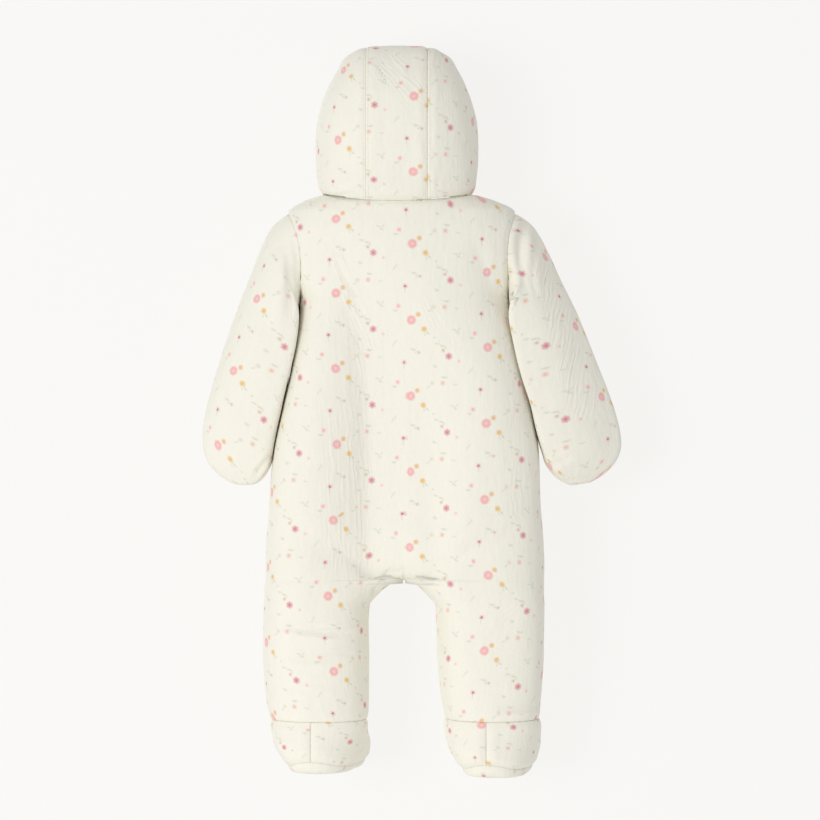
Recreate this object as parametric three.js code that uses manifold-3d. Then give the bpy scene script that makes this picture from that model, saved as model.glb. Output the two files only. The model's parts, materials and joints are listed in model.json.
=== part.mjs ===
// Baby snowsuit of padded cloth with a hood, closed mitts and feet, filled out as when it is worn.
// Millimetres. +Z is up, the back of the suit faces -Y, and the wearer's left is at -X.
// The origin is in the middle of the neck opening, where the back of the hood is sewn on.
import * as THREE from "three";
import Module from "manifold-3d";

const wasm = await Module();
wasm.setup();

// Driving sizes
const WALL = 5; // padded cloth: outer gauze, wadding and inner cloth in one wall
const SEAM = 0.3; // gap between two pieces where they are sewn together
const ARM_CLEARANCE = 1.2; // from a hanging sleeve to the side of the body
const SHOULDER_LIFT = 9; // the sides of the neck lie this much above its back
const LIFT_FADE = 22; // and the lift fades over this depth
const NECK = { centre: -6, halfWidth: 75, depth: 54 };
const CROTCH_Z = -374;
const SEAT_HEIGHT = 112; // over this height the round seat turns into two legs
const ANKLE_Z = -514;
const HALF_COLUMNS = 8; // cloth columns from the middle of the body to its side
const SLEEVE_COLUMNS = 8; // also the steps down half an armhole

// Names the columns of a table, so that each row reads as one section or fold.
const table = (columns, rows) =>
  rows.map((row) => Object.fromEntries(columns.map((name, k) => [name, row[k]])));

// Body sections from the neck down to the crotch
const TORSO = table(["z", "centre", "halfWidth", "back", "front", "square"], [
  [0, -5, 73.5, 50.5, 54, 2.1],
  [-5, -4, 95, 54.5, 57.5, 2.1],
  [-13, -2.5, 113, 57, 60, 2.15],
  [-34, -1, 122, 60, 63.5, 2.2],
  [-55, 0, 120, 61, 66, 2.2],
  [-76, 0.5, 114, 61.5, 68, 2.2],
  [-96, 0.5, 104, 62, 69.5, 2.25],
  [-126, 2.2, 108.3, 62, 70.5, 2.3],
  [-166, 2.8, 115.8, 62, 71.5, 2.3],
  [-201, 3, 123, 62, 71.5, 2.35],
  [-246, 2.2, 131.3, 62.5, 70, 2.4],
  [-296, 0.5, 134.5, 63, 67, 2.45],
  [-346, 0.5, 137.5, 61, 62, 2.45],
  [-374, 0.5, 138.5, 60, 60, 2.45],
]);

// Leg sections from the crotch down to the ankle; inner and outer are the edges seen from behind
const LEGS = table(
  ["z", "leftOuter", "leftInner", "rightInner", "rightOuter", "back", "front", "square"],
  [
    [-374, -138, 0, 0, 139, 55, 56, 2.3],
    [-377, -138, -9, 8, 139, 54.5, 56, 2.3],
    [-383, -138.5, -19, 16, 139, 54, 55, 2.3],
    [-391, -138.5, -27, 23.5, 139, 53, 54, 2.3],
    [-401, -139, -34.5, 31, 139.5, 52, 53, 2.25],
    [-416, -139.5, -35.5, 32, 139.5, 50, 51.5, 2.2],
    [-446, -140, -35, 33, 139.5, 48, 49.5, 2.2],
    [-486, -138, -35.5, 36, 137.5, 46, 48, 2.2],
    [-502, -136, -35.8, 38.5, 136, 45, 47, 2.2],
    [-514, -134, -36, 41, 135, 44, 46.5, 2.2],
  ],
);

// Foot sections from the ankle down to the sole; heel and toe are the ends along Y
const FEET = table(["z", "leftCentre", "rightCentre", "halfWidth", "heel", "toe", "square"], [
  [-514, -85, 88, 48.2, -44, 46.5, 2.2],
  [-523, -84.5, 88.5, 48.2, -45, 51, 2.2],
  [-533, -83, 89.5, 47, -46, 60, 2.3],
  [-543, -80.5, 91, 44.2, -46.5, 68, 2.4],
  [-552, -78.5, 92.8, 39.8, -45.5, 72.5, 2.5],
  [-559.5, -77.5, 94, 35.5, -43, 73, 2.5],
]);
const SOLE = table(["z", "halfWidth", "heel", "toe", "rise"], [
  [-563, 33, -41.5, 71, 0.6],
  [-566.2, 28, -36.5, 66, 0.2],
  [-567.8, 17, -22, 50, 0],
]);
const HEEL_LIFT = 5.5; // the sole's seam rises this much round the heel
const FOOT_DROP = { left: 0, right: 3 }; // the right leg hangs a little lower
const FOOT_SLANT = { left: 0.2, right: 0.13 }; // sideways per forward: how far the toes swing to +X
const HEEL_SEAM_TURN = 0.12; // radians by which the heel seam starts to the left at the ankle

// Edge of the armhole as seen from behind, measured out from the middle of the body
const ARMHOLE = table(["z", "edge"], [
  [-14, 113.8],
  [-17, 112],
  [-24, 109],
  [-36, 105],
  [-58, 102.6],
  [-76, 102.6],
  [-90, 103.4],
  [-96, 104],
]);

// Sleeve sections from the armhole to the tip of the mitt. outerX, outerZ and innerZ are seen from
// behind; off is how far the inner edge stands from the body's side, and rest is its own place instead.
const SLEEVES = {
  right: table(["outerX", "outerZ", "innerZ", "off", "rest", "depth"], [
    [130, -24, -101, 0, null, 36.5],
    [144, -48, -107, 0, null, 37],
    [158, -78, -117, 0, null, 37],
    [173, -109, -136, 0, null, 36],
    [186, -141, -168, 0, null, 35],
    [199, -174, -200, 0, null, 33.5],
    [210, -203, -229, 0.3, null, 31],
    [216.5, -229, -249, 4, null, 28],
    [217, -246, -261, null, 143, 24],
    [210.5, -260, -270.5, null, 150.5, 18.5],
    [199, -271.5, -277, null, 158.5, 12],
    [186, -279, -281, null, 168, 0],
  ]),
  left: table(["outerX", "outerZ", "innerZ", "off", "rest", "depth"], [
    [133, -25, -101, 0, null, 36.5],
    [144, -47, -107, 0, null, 37],
    [155, -76, -117, 0, null, 37],
    [166.5, -107, -135, 0, null, 36],
    [178, -140, -163, 0, null, 35],
    [189, -173, -194, 0, null, 33.5],
    [197, -203, -222, 0, null, 31],
    [201, -229, -244, 0, null, 28],
    [199.5, -248, -258, null, 132.5, 24],
    [193, -263, -268.5, null, 137.5, 18.5],
    [180, -274.5, -276.5, null, 144, 12],
    [167, -280.5, -280.5, null, 152, 0],
  ]),
};

// Hood sections from the neck up to the crown; face is where the face opening cuts each one
const HOOD = table(["z", "halfWidth", "back", "front", "face"], [
  [0, 76.5, 54.5, 58, 52],
  [12, 78, 62, 76, 58],
  [28, 80, 70, 94, 65],
  [50, 81.2, 76.5, 106, 74],
  [75, 80.2, 78, 110, 80],
  [100, 74.8, 75.5, 109, 82],
  [116, 68.5, 70.5, 105, 81],
  [131, 60.5, 62.5, 97, 79],
  [143, 53.5, 52, 84, 76],
  [150, 43.5, 42, 69, 73],
  [154.5, 31, 30, 50, 70],
  [157, 6, 6, 10, 66],
]);
const HOOD_CENTRE = -7; // the hood leans a little to the wearer's left
const HOOD_SQUARE = 2.3;
const STRIP_HALF_WIDTH = 30.5; // the middle panel of the hood is 61 wide
const HOOD_PIVOT = { y: 4, z: 72 }; // the strip is swept round this point

// Large folds in the cloth, from one end to the other as seen from behind or in front.
// A positive depth is a hollow, a negative one a ridge.
const BACK_FOLDS = table(["x0", "z0", "x1", "z1", "width", "depth"], [
  [-92, -62, -66, -190, 24, 6.5],
  [-66, -190, -40, -380, 20, 8.5],
  [31, -262, 30, -384, 13, 4],
  [-118, -417, -52, -427, 5, 3],
  [-108, -455, -44, -447, 7, 2],
  [96, -500, 132, -498, 5, 2],
  [70, -40, 86, -88, 9, 2.5],
]);
const FRONT_FOLDS = table(["x0", "z0", "x1", "z1", "width", "depth"], [
  [-86, -70, -60, -210, 20, 5],
  [84, -70, 62, -220, 20, 5],
  [-30, -330, -84, -388, 12, 4],
  [28, -334, 82, -384, 12, 4],
  [52, -430, 118, -424, 6, 3],
  [-118, -468, -60, -474, 6, 2.5],
]);
const SLEEVE_FOLDS = table(["x0", "z0", "x1", "z1", "width", "depth"], [
  [113, -30, 121, -92, 6, 4],
  [126, -26, 132, -80, 6, -3],
  [136, -246, 160, -254, 5, 3],
  [-107, -50, -112, -110, 6, 3],
  [-119, -60, -124, -120, 7, -3],
]);

// Zip down the front
const ZIP_HALF_GAP = 5;
const ZIP_END_Z = -326; // above this the fronts stand apart for the zip
const ZIP_CLOSED_Z = -337; // below this they meet at a plain seam
const ZIP_BELOW_CLOTH = 2;
const TAPE = { halfWidth: 4.6, thickness: 1.2 };
const COIL = { halfWidth: 2.2, height: 1.5 };
const SLIDER = { halfWidth: 4, length: 11, plate: 1.5, lip: 0.8, aboveCoil: 0.35, z: -23 };
const HINGE = { pin: 0.7, bore: 1, knuckle: 1.9, lug: 1.1, halfSpan: 3.3, above: 2.3, halfLength: 1.9 };
const PULL = { halfWidth: 3.2, length: 20, thickness: 1.3, hole: 1.6 };

const COLOURS = { cloth: 0xf4f1e2, sole: 0xf1eedd, tape: 0xf2efe0, metal: 0xd9d3bd };
const MIRROR = { left: -1, right: 1 };

// Reads one column of a table at any height, along a smooth curve that never overshoots its rows.
function track(rows, column, z, key = "z") {
  const last = rows.length - 1;
  const descending = rows[last][key] < rows[0][key];
  const at = (k) => (descending ? -rows[k][key] : rows[k][key]);
  const x = THREE.MathUtils.clamp(descending ? -z : z, at(0), at(last));
  let k = 0;
  while (k < last - 1 && x > at(k + 1)) k += 1;
  const secant = (m) => (rows[m + 1][column] - rows[m][column]) / (at(m + 1) - at(m));
  const slope = (m) => {
    if (m === 0) return secant(0);
    if (m === last) return secant(last - 1);
    const [a, b] = [secant(m - 1), secant(m)];
    return a * b <= 0 ? 0 : (2 * a * b) / (a + b);
  };
  const span = at(k + 1) - at(k);
  const t = (x - at(k)) / span;
  const [p, q] = [rows[k][column], rows[k + 1][column]];
  return (
    p * (1 + 2 * t) * (1 - t) ** 2 +
    q * t * t * (3 - 2 * t) +
    span * slope(k) * t * (1 - t) ** 2 -
    span * slope(k + 1) * t * t * (1 - t)
  );
}

// The neck seam is not level: it is highest at the sides and lowest at the front.
function neckLift(x, y, face) {
  const across = ((x - NECK.centre) / NECK.halfWidth) ** 2;
  const out = (y / NECK.depth) ** 2;
  const share = across / (across + out);
  return SHOULDER_LIFT * (face < 0 ? share : 2 * share - 1);
}

const power = (value, square) => Math.sign(value) * Math.abs(value) ** (2 / square);
const mix = (a, b, share) => a + (b - a) * share;

// How far a fold table presses the cloth in at a place seen from behind or in front.
function folded(folds, x, z) {
  let depth = 0;
  for (const fold of folds) {
    const [ux, uz] = [fold.x1 - fold.x0, fold.z1 - fold.z0];
    const along = ((x - fold.x0) * ux + (z - fold.z0) * uz) / (ux * ux + uz * uz);
    const near = THREE.MathUtils.clamp(along, 0, 1);
    const away = Math.hypot(x - fold.x0 - near * ux, z - fold.z0 - near * uz);
    const taper = Math.sin(Math.PI * THREE.MathUtils.clamp(0.12 + 0.76 * near, 0, 1));
    depth += fold.depth * taper * Math.exp(-((away / fold.width) ** 2));
  }
  return depth;
}

// A point of the body's outer surface. angle is 90 degrees at the middle of the body, 0 at its side,
// and on the legs it goes on to 180 degrees at the inseam. face is -1 for the back and 1 for the front.
function torsoPoint(side, face, z, angle) {
  const square = track(TORSO, "square", z);
  const depth = track(TORSO, face < 0 ? "back" : "front", z);
  const out = track(TORSO, "halfWidth", z) * power(Math.cos(angle), square);
  const x = track(TORSO, "centre", z) + side * out;
  const y = face * depth * power(Math.sin(angle), square);
  return new THREE.Vector3(x, y, z + neckLift(x, y, face) * Math.exp(z / LIFT_FADE));
}

function legPoint(side, face, z, angle, middleGap) {
  const name = side < 0 ? "left" : "right";
  const outer = track(LEGS, name + "Outer", z);
  const inner = side * Math.max(side * track(LEGS, name + "Inner", z), middleGap);
  const square = track(LEGS, "square", z);
  const depth = track(LEGS, face < 0 ? "back" : "front", z);
  return new THREE.Vector3(
    (outer + inner) / 2 + ((outer - inner) / 2) * power(Math.cos(angle), square),
    face * depth * power(Math.sin(angle), square),
    z,
  );
}

// How much of a section is round seat rather than two legs: the seat starts level over the crotch,
// and the outer sides run straight on into the legs.
function seatShare(z, share) {
  const up = THREE.MathUtils.clamp((z - CROTCH_Z) / SEAT_HEIGHT, 0, 1);
  const round = Math.sqrt(1 - (1 - up) ** 2);
  return mix(round, up * up * (3 - 2 * up), Math.min(1, 2.6 * share));
}

// The angle at which a section stands a given way out from its centre.
const angleAt = (out, halfWidth, square) =>
  Math.acos(power(THREE.MathUtils.clamp(out / halfWidth, -1, 1), 4 / square));

// The angle at which the body stands a given way out from the line down its middle, where X is 0.
function middleAngle(side, z, out) {
  const fromCentre = out - side * track(TORSO, "centre", z);
  return angleAt(fromCentre, track(TORSO, "halfWidth", z), track(TORSO, "square", z));
}

const beside = (z) => z <= ARMHOLE[0].z && z >= ARMHOLE.at(-1).z;

function armholeAngle(z) {
  if (!beside(z)) return 0;
  return angleAt(track(ARMHOLE, "edge", z), track(TORSO, "halfWidth", z), track(TORSO, "square", z));
}

// A point of the body's cloth: share is 0 at the middle or inseam and 1 at the side or armhole.
function bodyPoint(side, face, z, share, middleGap = 0) {
  let point;
  const start = middleAngle(side, z, middleGap);
  if (z <= CROTCH_Z) {
    point = legPoint(side, face, z, Math.PI * (1 - share), middleGap);
  } else {
    point = torsoPoint(side, face, z, mix(start, armholeAngle(z), share));
    const seat = seatShare(z, share);
    const leg = legPoint(side, face, CROTCH_Z, Math.PI * (1 - share), middleGap);
    point.setX(mix(leg.x, point.x, seat)).setY(mix(leg.y, point.y, seat));
  }
  const folds = face < 0 ? BACK_FOLDS : FRONT_FOLDS;
  const room = Math.min(1, Math.abs(point.y) / 30); // no fold reaches the seams at the sides
  point.y -= face * folded(folds, point.x, point.z) * room;
  point.y += (face * SEAM) / 2;
  return point;
}

// The outward direction of the plain body surface, which the sleeve shares where it is sewn on.
function bodyNormal(side, face, z, angle) {
  const step = 0.5;
  const turn = 0.01;
  const lower = Math.max(angle - turn, 0);
  const down = torsoPoint(side, face, z - step, angle).sub(torsoPoint(side, face, z + step, angle));
  const round = torsoPoint(side, face, z, angle + turn).sub(torsoPoint(side, face, z, lower));
  const normal = down.cross(round).normalize();
  if (angle < 1e-6) normal.setY(0).normalize();
  return normal.x * side < 0 ? normal.negate() : normal;
}

// Turns a grid of outer points into one closed wall. normalAt may change the direction in which the
// wall is thick at a place, so that the walls of two sewn pieces face each other.
function clothWall(rows, inside, normalAt = (normal) => normal, wall = WALL) {
  const height = rows.length;
  const width = rows[0].length;
  const normals = rows.map((row) => row.map(() => new THREE.Vector3()));
  for (let i = 0; i < height - 1; i += 1) {
    for (let j = 0; j < width - 1; j += 1) {
      const across = rows[i][j + 1].clone().add(rows[i + 1][j + 1]).sub(rows[i][j]).sub(rows[i + 1][j]);
      const down = rows[i + 1][j].clone().add(rows[i + 1][j + 1]).sub(rows[i][j]).sub(rows[i][j + 1]);
      const normal = across.cross(down);
      for (const [a, b] of [[i, j], [i + 1, j], [i, j + 1], [i + 1, j + 1]]) {
        normals[a][b].add(normal);
      }
    }
  }
  const facing = rows.flat().reduce(
    (sum, point, k) => sum + point.clone().sub(inside).dot(normals.flat()[k]),
    0,
  );
  const inner = rows.map((row, i) =>
    row.map((point, j) => {
      const outward = normals[i][j].multiplyScalar(Math.sign(facing)).normalize();
      const thick = normalAt(outward, i, j, point).normalize();
      return point.clone().addScaledVector(thick, -wall);
    }),
  );
  return closedWall(rows, inner);
}

// Joins an outer and an inner grid of points along their four edges.
function closedWall(outer, inner) {
  const height = outer.length;
  const width = outer[0].length;
  const points = [...outer.flat(), ...inner.flat()];
  const index = [];
  const at = (layer, i, j) => layer * height * width + i * width + j;
  const quad = (a, b, c, d) => index.push(a, b, c, a, c, d);
  for (let i = 0; i < height - 1; i += 1) {
    for (let j = 0; j < width - 1; j += 1) {
      quad(at(0, i, j), at(0, i, j + 1), at(0, i + 1, j + 1), at(0, i + 1, j));
      quad(at(1, i, j), at(1, i + 1, j), at(1, i + 1, j + 1), at(1, i, j + 1));
    }
  }
  const rim = [];
  for (let j = 0; j < width; j += 1) rim.push([0, j]);
  for (let i = 1; i < height; i += 1) rim.push([i, width - 1]);
  for (let j = width - 2; j >= 0; j -= 1) rim.push([height - 1, j]);
  for (let i = height - 2; i >= 1; i -= 1) rim.push([i, 0]);
  rim.forEach(([i, j], k) => {
    const [p, q] = rim[(k + 1) % rim.length];
    quad(at(0, i, j), at(1, i, j), at(1, p, q), at(0, p, q));
  });
  return solidGeometry(points, index);
}

// Merges equal points, drops empty faces and turns the faces outwards.
function solidGeometry(points, index) {
  const seen = new Map();
  const kept = [];
  const renamed = points.map((point) => {
    const name = point.toArray().map((value) => Math.round(value * 1e4)).join();
    if (!seen.has(name)) {
      seen.set(name, kept.length);
      kept.push(point);
    }
    return seen.get(name);
  });
  const faces = [];
  let volume = 0;
  for (let k = 0; k < index.length; k += 3) {
    const [a, b, c] = index.slice(k, k + 3).map((v) => renamed[v]);
    if (a === b || b === c || c === a) continue;
    faces.push(a, b, c);
    volume += kept[a].dot(kept[b].clone().cross(kept[c]));
  }
  if (volume < 0) faces.reverse();
  const geometry = new THREE.BufferGeometry();
  geometry.setAttribute("position", new THREE.Float32BufferAttribute(kept.flatMap((p) => p.toArray()), 3));
  geometry.setIndex(faces);
  return geometry;
}

const steps = (count) => Array.from({ length: count + 1 }, (_, k) => k / count);

// Heights of the body's rows: the neck, even angles round the armhole, then down to the crotch.
const ARMHOLE_MIDDLE = (ARMHOLE[0].z + ARMHOLE.at(-1).z) / 2;
const ARMHOLE_HALF = (ARMHOLE[0].z - ARMHOLE.at(-1).z) / 2;
const ARMHOLE_CENTRE = new THREE.Vector3(ARMHOLE[0].edge + 10, 0, ARMHOLE_MIDDLE);
const armholeZ = (share) => ARMHOLE_MIDDLE + ARMHOLE_HALF * Math.cos(Math.PI * share);
const TORSO_ROWS = [
  ...[0, -2, -5, -9],
  ...steps(SLEEVE_COLUMNS).map(armholeZ),
  ...[-112, -130, -150, -172, -196, -222, -248, -272, -294, ZIP_END_Z + 14, ZIP_END_Z, ZIP_CLOSED_Z],
  ...[-349, -359, -367, -372],
];
const LEG_ROWS = [CROTCH_Z, -377, -382, -389, -401, -412, -422, -434, -450, -468, -486, -502];
const LEG_END = ANKLE_Z + SEAM / 2;

// The wall is squared at its edges: in the seam's own plane at a side or an inseam, upright at the
// neck, level at the ankle, and as the plain body surface round an armhole.
function bodyEdge(side, face, rowsZ, share) {
  return (normal, i, j, point) => {
    const z = rowsZ[i];
    if (i === 0) return normal.set(0, 0, 1);
    if (z === LEG_END) normal.setZ(0);
    if (share(j) === 1 && beside(z)) return bodyNormal(side(point), face, z, armholeAngle(z));
    if (share(j) === 1 || (z <= CROTCH_Z && share(j) === 0)) normal.setY(0);
    return normal;
  };
}

// The back is one piece from the neck to both ankles. Its rows split in two below the crotch.
function backPanel() {
  const centre = HALF_COLUMNS;
  const column = (j) => ({ side: j < centre ? -1 : 1, share: Math.abs(j - centre) / centre });
  const torso = [...TORSO_ROWS, CROTCH_Z].map((z) =>
    steps(2 * centre).map((_, j) => bodyPoint(column(j).side, -1, z, column(j).share)),
  );
  const legRows = [...LEG_ROWS, LEG_END];
  const leg = (side) =>
    legRows.map((z) => steps(centre).map((share) => bodyPoint(side, -1, z, side < 0 ? 1 - share : share)));
  const pieces = [
    { rows: torso, z: [...TORSO_ROWS, CROTCH_Z], share: (j) => column(j).share, side: null },
    { rows: leg(-1), z: legRows, share: (j) => 1 - j / centre, side: -1 },
    { rows: leg(1), z: legRows, share: (j) => j / centre, side: 1 },
  ];
  return splitWall(pieces, centre);
}

// Builds the back's wall from its torso grid and two leg grids, which share the crotch row.
function splitWall([torso, left, right], centre) {
  const outer = [];
  const ids = [torso, left, right].map((piece) => piece.rows.map((row) => row.map(() => 0)));
  torso.rows.forEach((row, i) => row.forEach((point, j) => {
    ids[0][i][j] = outer.push(point) - 1;
  }));
  const last = torso.rows.length - 1;
  [left, right].forEach((piece, k) => piece.rows.forEach((row, i) => row.forEach((point, j) => {
    ids[k + 1][i][j] = i === 0 ? ids[0][last][j + k * centre] : outer.push(point) - 1;
  })));
  const normals = outer.map(() => new THREE.Vector3());
  const quads = [];
  ids.forEach((grid) => {
    for (let i = 0; i < grid.length - 1; i += 1) {
      for (let j = 0; j < grid[0].length - 1; j += 1) {
        quads.push([grid[i][j], grid[i][j + 1], grid[i + 1][j + 1], grid[i + 1][j]]);
      }
    }
  });
  for (const [a, b, c, d] of quads) {
    const normal = outer[c].clone().sub(outer[a]).cross(outer[b].clone().sub(outer[d]));
    [a, b, c, d].forEach((v) => normals[v].add(normal));
  }
  const facing = Math.sign(-normals.reduce((sum, normal) => sum + normal.y, 0));
  normals.forEach((normal) => normal.multiplyScalar(facing).normalize());
  const squared = new Set();
  [torso, left, right].forEach((piece, k) => piece.rows.forEach((row, i) => row.forEach((point, j) => {
    const v = ids[k][i][j];
    const side = () => piece.side ?? (j < centre ? -1 : 1);
    if (squared.has(v)) return;
    squared.add(v);
    normals[v].copy(bodyEdge(side, -1, piece.z, piece.share)(normals[v], i, j, point)).normalize();
  })));
  const crotch = ids[0][last][centre];
  normals[crotch].setY(0).normalize();
  const inner = outer.map((point, v) => point.clone().addScaledVector(normals[v], -WALL));
  return doubleSurface(outer, inner, quads);
}

// Closes two matching surfaces of quads along whatever edges belong to one quad only.
function doubleSurface(outer, inner, quads) {
  const count = outer.length;
  const index = [];
  const edges = new Map();
  for (const [a, b, c, d] of quads) {
    index.push(a, b, c, a, c, d);
    index.push(count + a, count + c, count + b, count + a, count + d, count + c);
    [[a, b], [b, c], [c, d], [d, a]].forEach(([p, q]) => {
      if (edges.has(`${q},${p}`)) edges.delete(`${q},${p}`);
      else edges.set(`${p},${q}`, [p, q]);
    });
  }
  edges.forEach(([p, q]) => {
    // each edge quad is cut from its upper outer corner, as on the piece that it is sewn to
    if (outer[p].z > outer[q].z) index.push(p, count + p, count + q, p, count + q, q);
    else index.push(p, count + p, q, count + p, count + q, q);
  });
  return solidGeometry([...outer, ...inner], index);
}

// Each front runs from the neck to its ankle, along the zip and below it a plain seam.
function frontPanel(side) {
  const middleGap = (z) => {
    const closed = THREE.MathUtils.smoothstep(-z, -ZIP_END_Z, -ZIP_CLOSED_Z);
    return mix(ZIP_HALF_GAP, SEAM / 2, closed);
  };
  const rowsZ = [...TORSO_ROWS, ...LEG_ROWS, LEG_END];
  const rows = rowsZ.map((z) =>
    steps(HALF_COLUMNS).map((share) => bodyPoint(side, 1, z, share, middleGap(z))),
  );
  const edge = bodyEdge(() => side, 1, rowsZ, (j) => j / HALF_COLUMNS);
  const squared = (normal, i, j, point) => {
    if (j === 0 && rowsZ[i] >= CROTCH_Z) normal.setX(0);
    return edge(normal, i, j, point);
  };
  return clothWall(rows, new THREE.Vector3(side * 60, 0, -250), squared);
}

// Half a sleeve, back or front, from its armhole to the seam round the end of the mitt.
function sleeveHalf(name, face) {
  const side = MIRROR[name];
  const levels = steps(SLEEVE_COLUMNS).map(armholeZ);
  const loop = levels.map((z) => bodyPoint(side, face, z, 1));
  const armhole = loop.map((point, j) => {
    const normal = bodyNormal(side, face, levels[j], armholeAngle(levels[j]));
    const along = loop[Math.min(j + 1, SLEEVE_COLUMNS)].clone().sub(loop[Math.max(j - 1, 0)]);
    if (j === 0 || j === SLEEVE_COLUMNS) along.set(0, 1, 0);
    const off = along.cross(normal).normalize();
    const middle = ARMHOLE_CENTRE.clone().setX(side * ARMHOLE_CENTRE.x).sub(point);
    return { point: point.clone().addScaledVector(off, SEAM * Math.sign(off.dot(middle))), normal };
  });
  const rows = [armhole.map(({ point }) => point)];
  for (const station of SLEEVES[name]) {
    const bodySide = torsoPoint(side, face, station.innerZ, 0).x;
    const clear = bodySide + side * (ARM_CLEARANCE + station.off);
    const innerX = station.rest === null ? clear : side * station.rest;
    const outer = new THREE.Vector2(side * station.outerX, station.outerZ);
    const inner = new THREE.Vector2(innerX, station.innerZ);
    rows.push(steps(SLEEVE_COLUMNS).map((share) => {
      const angle = Math.PI * share;
      const across = (1 - power(Math.cos(angle), 2.2)) / 2;
      const place = outer.clone().lerp(inner, across);
      const depth = station.depth * power(Math.sin(angle), 2.2);
      const room = Math.min(1, depth / 20);
      const press = folded(SLEEVE_FOLDS, place.x, place.y) * room;
      return new THREE.Vector3(place.x, face * (depth - press + SEAM / 2), place.y);
    }));
  }
  const squared = (normal, i, j) => {
    if (i === 0) return armhole[j].normal.clone();
    if (j === 0 || j === SLEEVE_COLUMNS || i === rows.length - 1) normal.setY(0);
    return normal;
  };
  return clothWall(rows, new THREE.Vector3(side * 155, 0, -150), squared);
}

const hoodHalf = (z, column) => track(HOOD, column, z);

// The angle at which a hood section reaches the face opening, or the middle panel above it.
function hoodFrontAngle(z, seamOut) {
  const front = hoodHalf(z, "front");
  const face = Math.min(1, hoodHalf(z, "face") / front) ** (HOOD_SQUARE / 2);
  return Math.min(Math.asin(face), angleAt(seamOut, hoodHalf(z, "halfWidth"), HOOD_SQUARE));
}

// Sets a point of the dome down on the neck seam, whose rise fades up the hood.
function onNeck(x, y, z) {
  const lift = neckLift(x, y, Math.sign(y)) * Math.exp(-Math.max(z, 0) / LIFT_FADE);
  return new THREE.Vector3(x, y, z + SEAM + lift);
}

function hoodPoint(side, z, angle) {
  const depth = angle < 0 ? hoodHalf(z, "back") : hoodHalf(z, "front");
  const x = HOOD_CENTRE + side * hoodHalf(z, "halfWidth") * power(Math.cos(angle), HOOD_SQUARE);
  return onNeck(x, depth * power(Math.sin(angle), HOOD_SQUARE), z);
}

// A side of the hood: from the neck up, and from its seam at the back round to the face opening.
function hoodSide(name) {
  const side = MIRROR[name];
  const seamOut = STRIP_HALF_WIDTH + SEAM / 2;
  const columns = 9;
  let [crown, over] = [HOOD[0].z, HOOD.at(-1).z];
  for (let k = 0; k < 40; k += 1) {
    const level = (crown + over) / 2;
    if (level < 60 || hoodHalf(level, "halfWidth") > seamOut) crown = level;
    else over = level;
  }
  const rowsZ = [0, 12, 28, 48, 72, 92, 108, 120, 131, 140.5, 147.5, 152, crown - 0.15];
  const rows = rowsZ.map((z) => {
    const back = -angleAt(seamOut, hoodHalf(z, "halfWidth"), HOOD_SQUARE);
    const front = hoodFrontAngle(z, seamOut);
    return steps(columns).map((share) => hoodPoint(side, z, mix(back, front, share)));
  });
  const squared = (normal, i, j, point) => {
    if (i === 0) normal.setZ(0);
    // the wall never leans over the seam to the middle panel
    const room = (0.9 * (Math.abs(point.x - HOOD_CENTRE) - seamOut)) / WALL;
    return normal.normalize().setX(side * Math.min(side * normal.x, Math.max(room, 0)));
  };
  return clothWall(rows, new THREE.Vector3(HOOD_CENTRE, 10, 70), squared);
}

// Whether a point lies outside the hood's full dome.
function outsideHood(x, y, z) {
  if (z >= HOOD.at(-1).z) return true;
  const level = Math.max(z, 0);
  const depth = hoodHalf(level, y < 0 ? "back" : "front");
  const width = hoodHalf(level, "halfWidth");
  return (Math.abs(x) / width) ** HOOD_SQUARE + (Math.abs(y) / depth) ** HOOD_SQUARE > 1;
}

// The point of the dome at one place across the middle panel, in a direction round the pivot.
function stripPoint(across, turn) {
  let [near, far] = [5, 200];
  for (let k = 0; k < 40; k += 1) {
    const reach = (near + far) / 2;
    const [y, z] = [HOOD_PIVOT.y + reach * Math.cos(turn), HOOD_PIVOT.z + reach * Math.sin(turn)];
    if (outsideHood(across, y, z)) far = reach;
    else near = reach;
  }
  const [y, z] = [HOOD_PIVOT.y + near * Math.cos(turn), HOOD_PIVOT.z + near * Math.sin(turn)];
  return onNeck(HOOD_CENTRE + across, y, z);
}

// Where a line across the middle panel starts at the face opening and ends at the neck.
function stripTurns(across) {
  let [low, high] = [0.3, Math.PI / 2];
  for (let k = 0; k < 40; k += 1) {
    const turn = (low + high) / 2;
    const point = stripPoint(across, turn);
    if (point.y > hoodHalf(point.z, "face")) low = turn;
    else high = turn;
  }
  const width = hoodHalf(0, "halfWidth");
  const nape = -hoodHalf(0, "back") * (1 - (Math.abs(across) / width) ** HOOD_SQUARE) ** (1 / HOOD_SQUARE);
  const end = Math.atan2(-HOOD_PIVOT.z, nape - HOOD_PIVOT.y) + 2 * Math.PI;
  return [high, end];
}

// The middle panel of the hood, from the forehead over the crown and down to the neck.
function hoodMiddle() {
  const columns = 4;
  const rowCount = 18;
  const half = STRIP_HALF_WIDTH - SEAM / 2;
  const rows = steps(rowCount).map((down) =>
    steps(columns).map((share) => {
      const across = mix(-half, half, share);
      const [start, end] = stripTurns(across);
      return stripPoint(across, mix(start, end, down));
    }),
  );
  const squared = (normal, i, j) => {
    if (j === 0 || j === columns) normal.setX(0);
    if (i === rowCount) normal.setZ(0);
    return normal;
  };
  return clothWall(rows, new THREE.Vector3(HOOD_CENTRE, HOOD_PIVOT.y, HOOD_PIVOT.z), squared);
}

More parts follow.
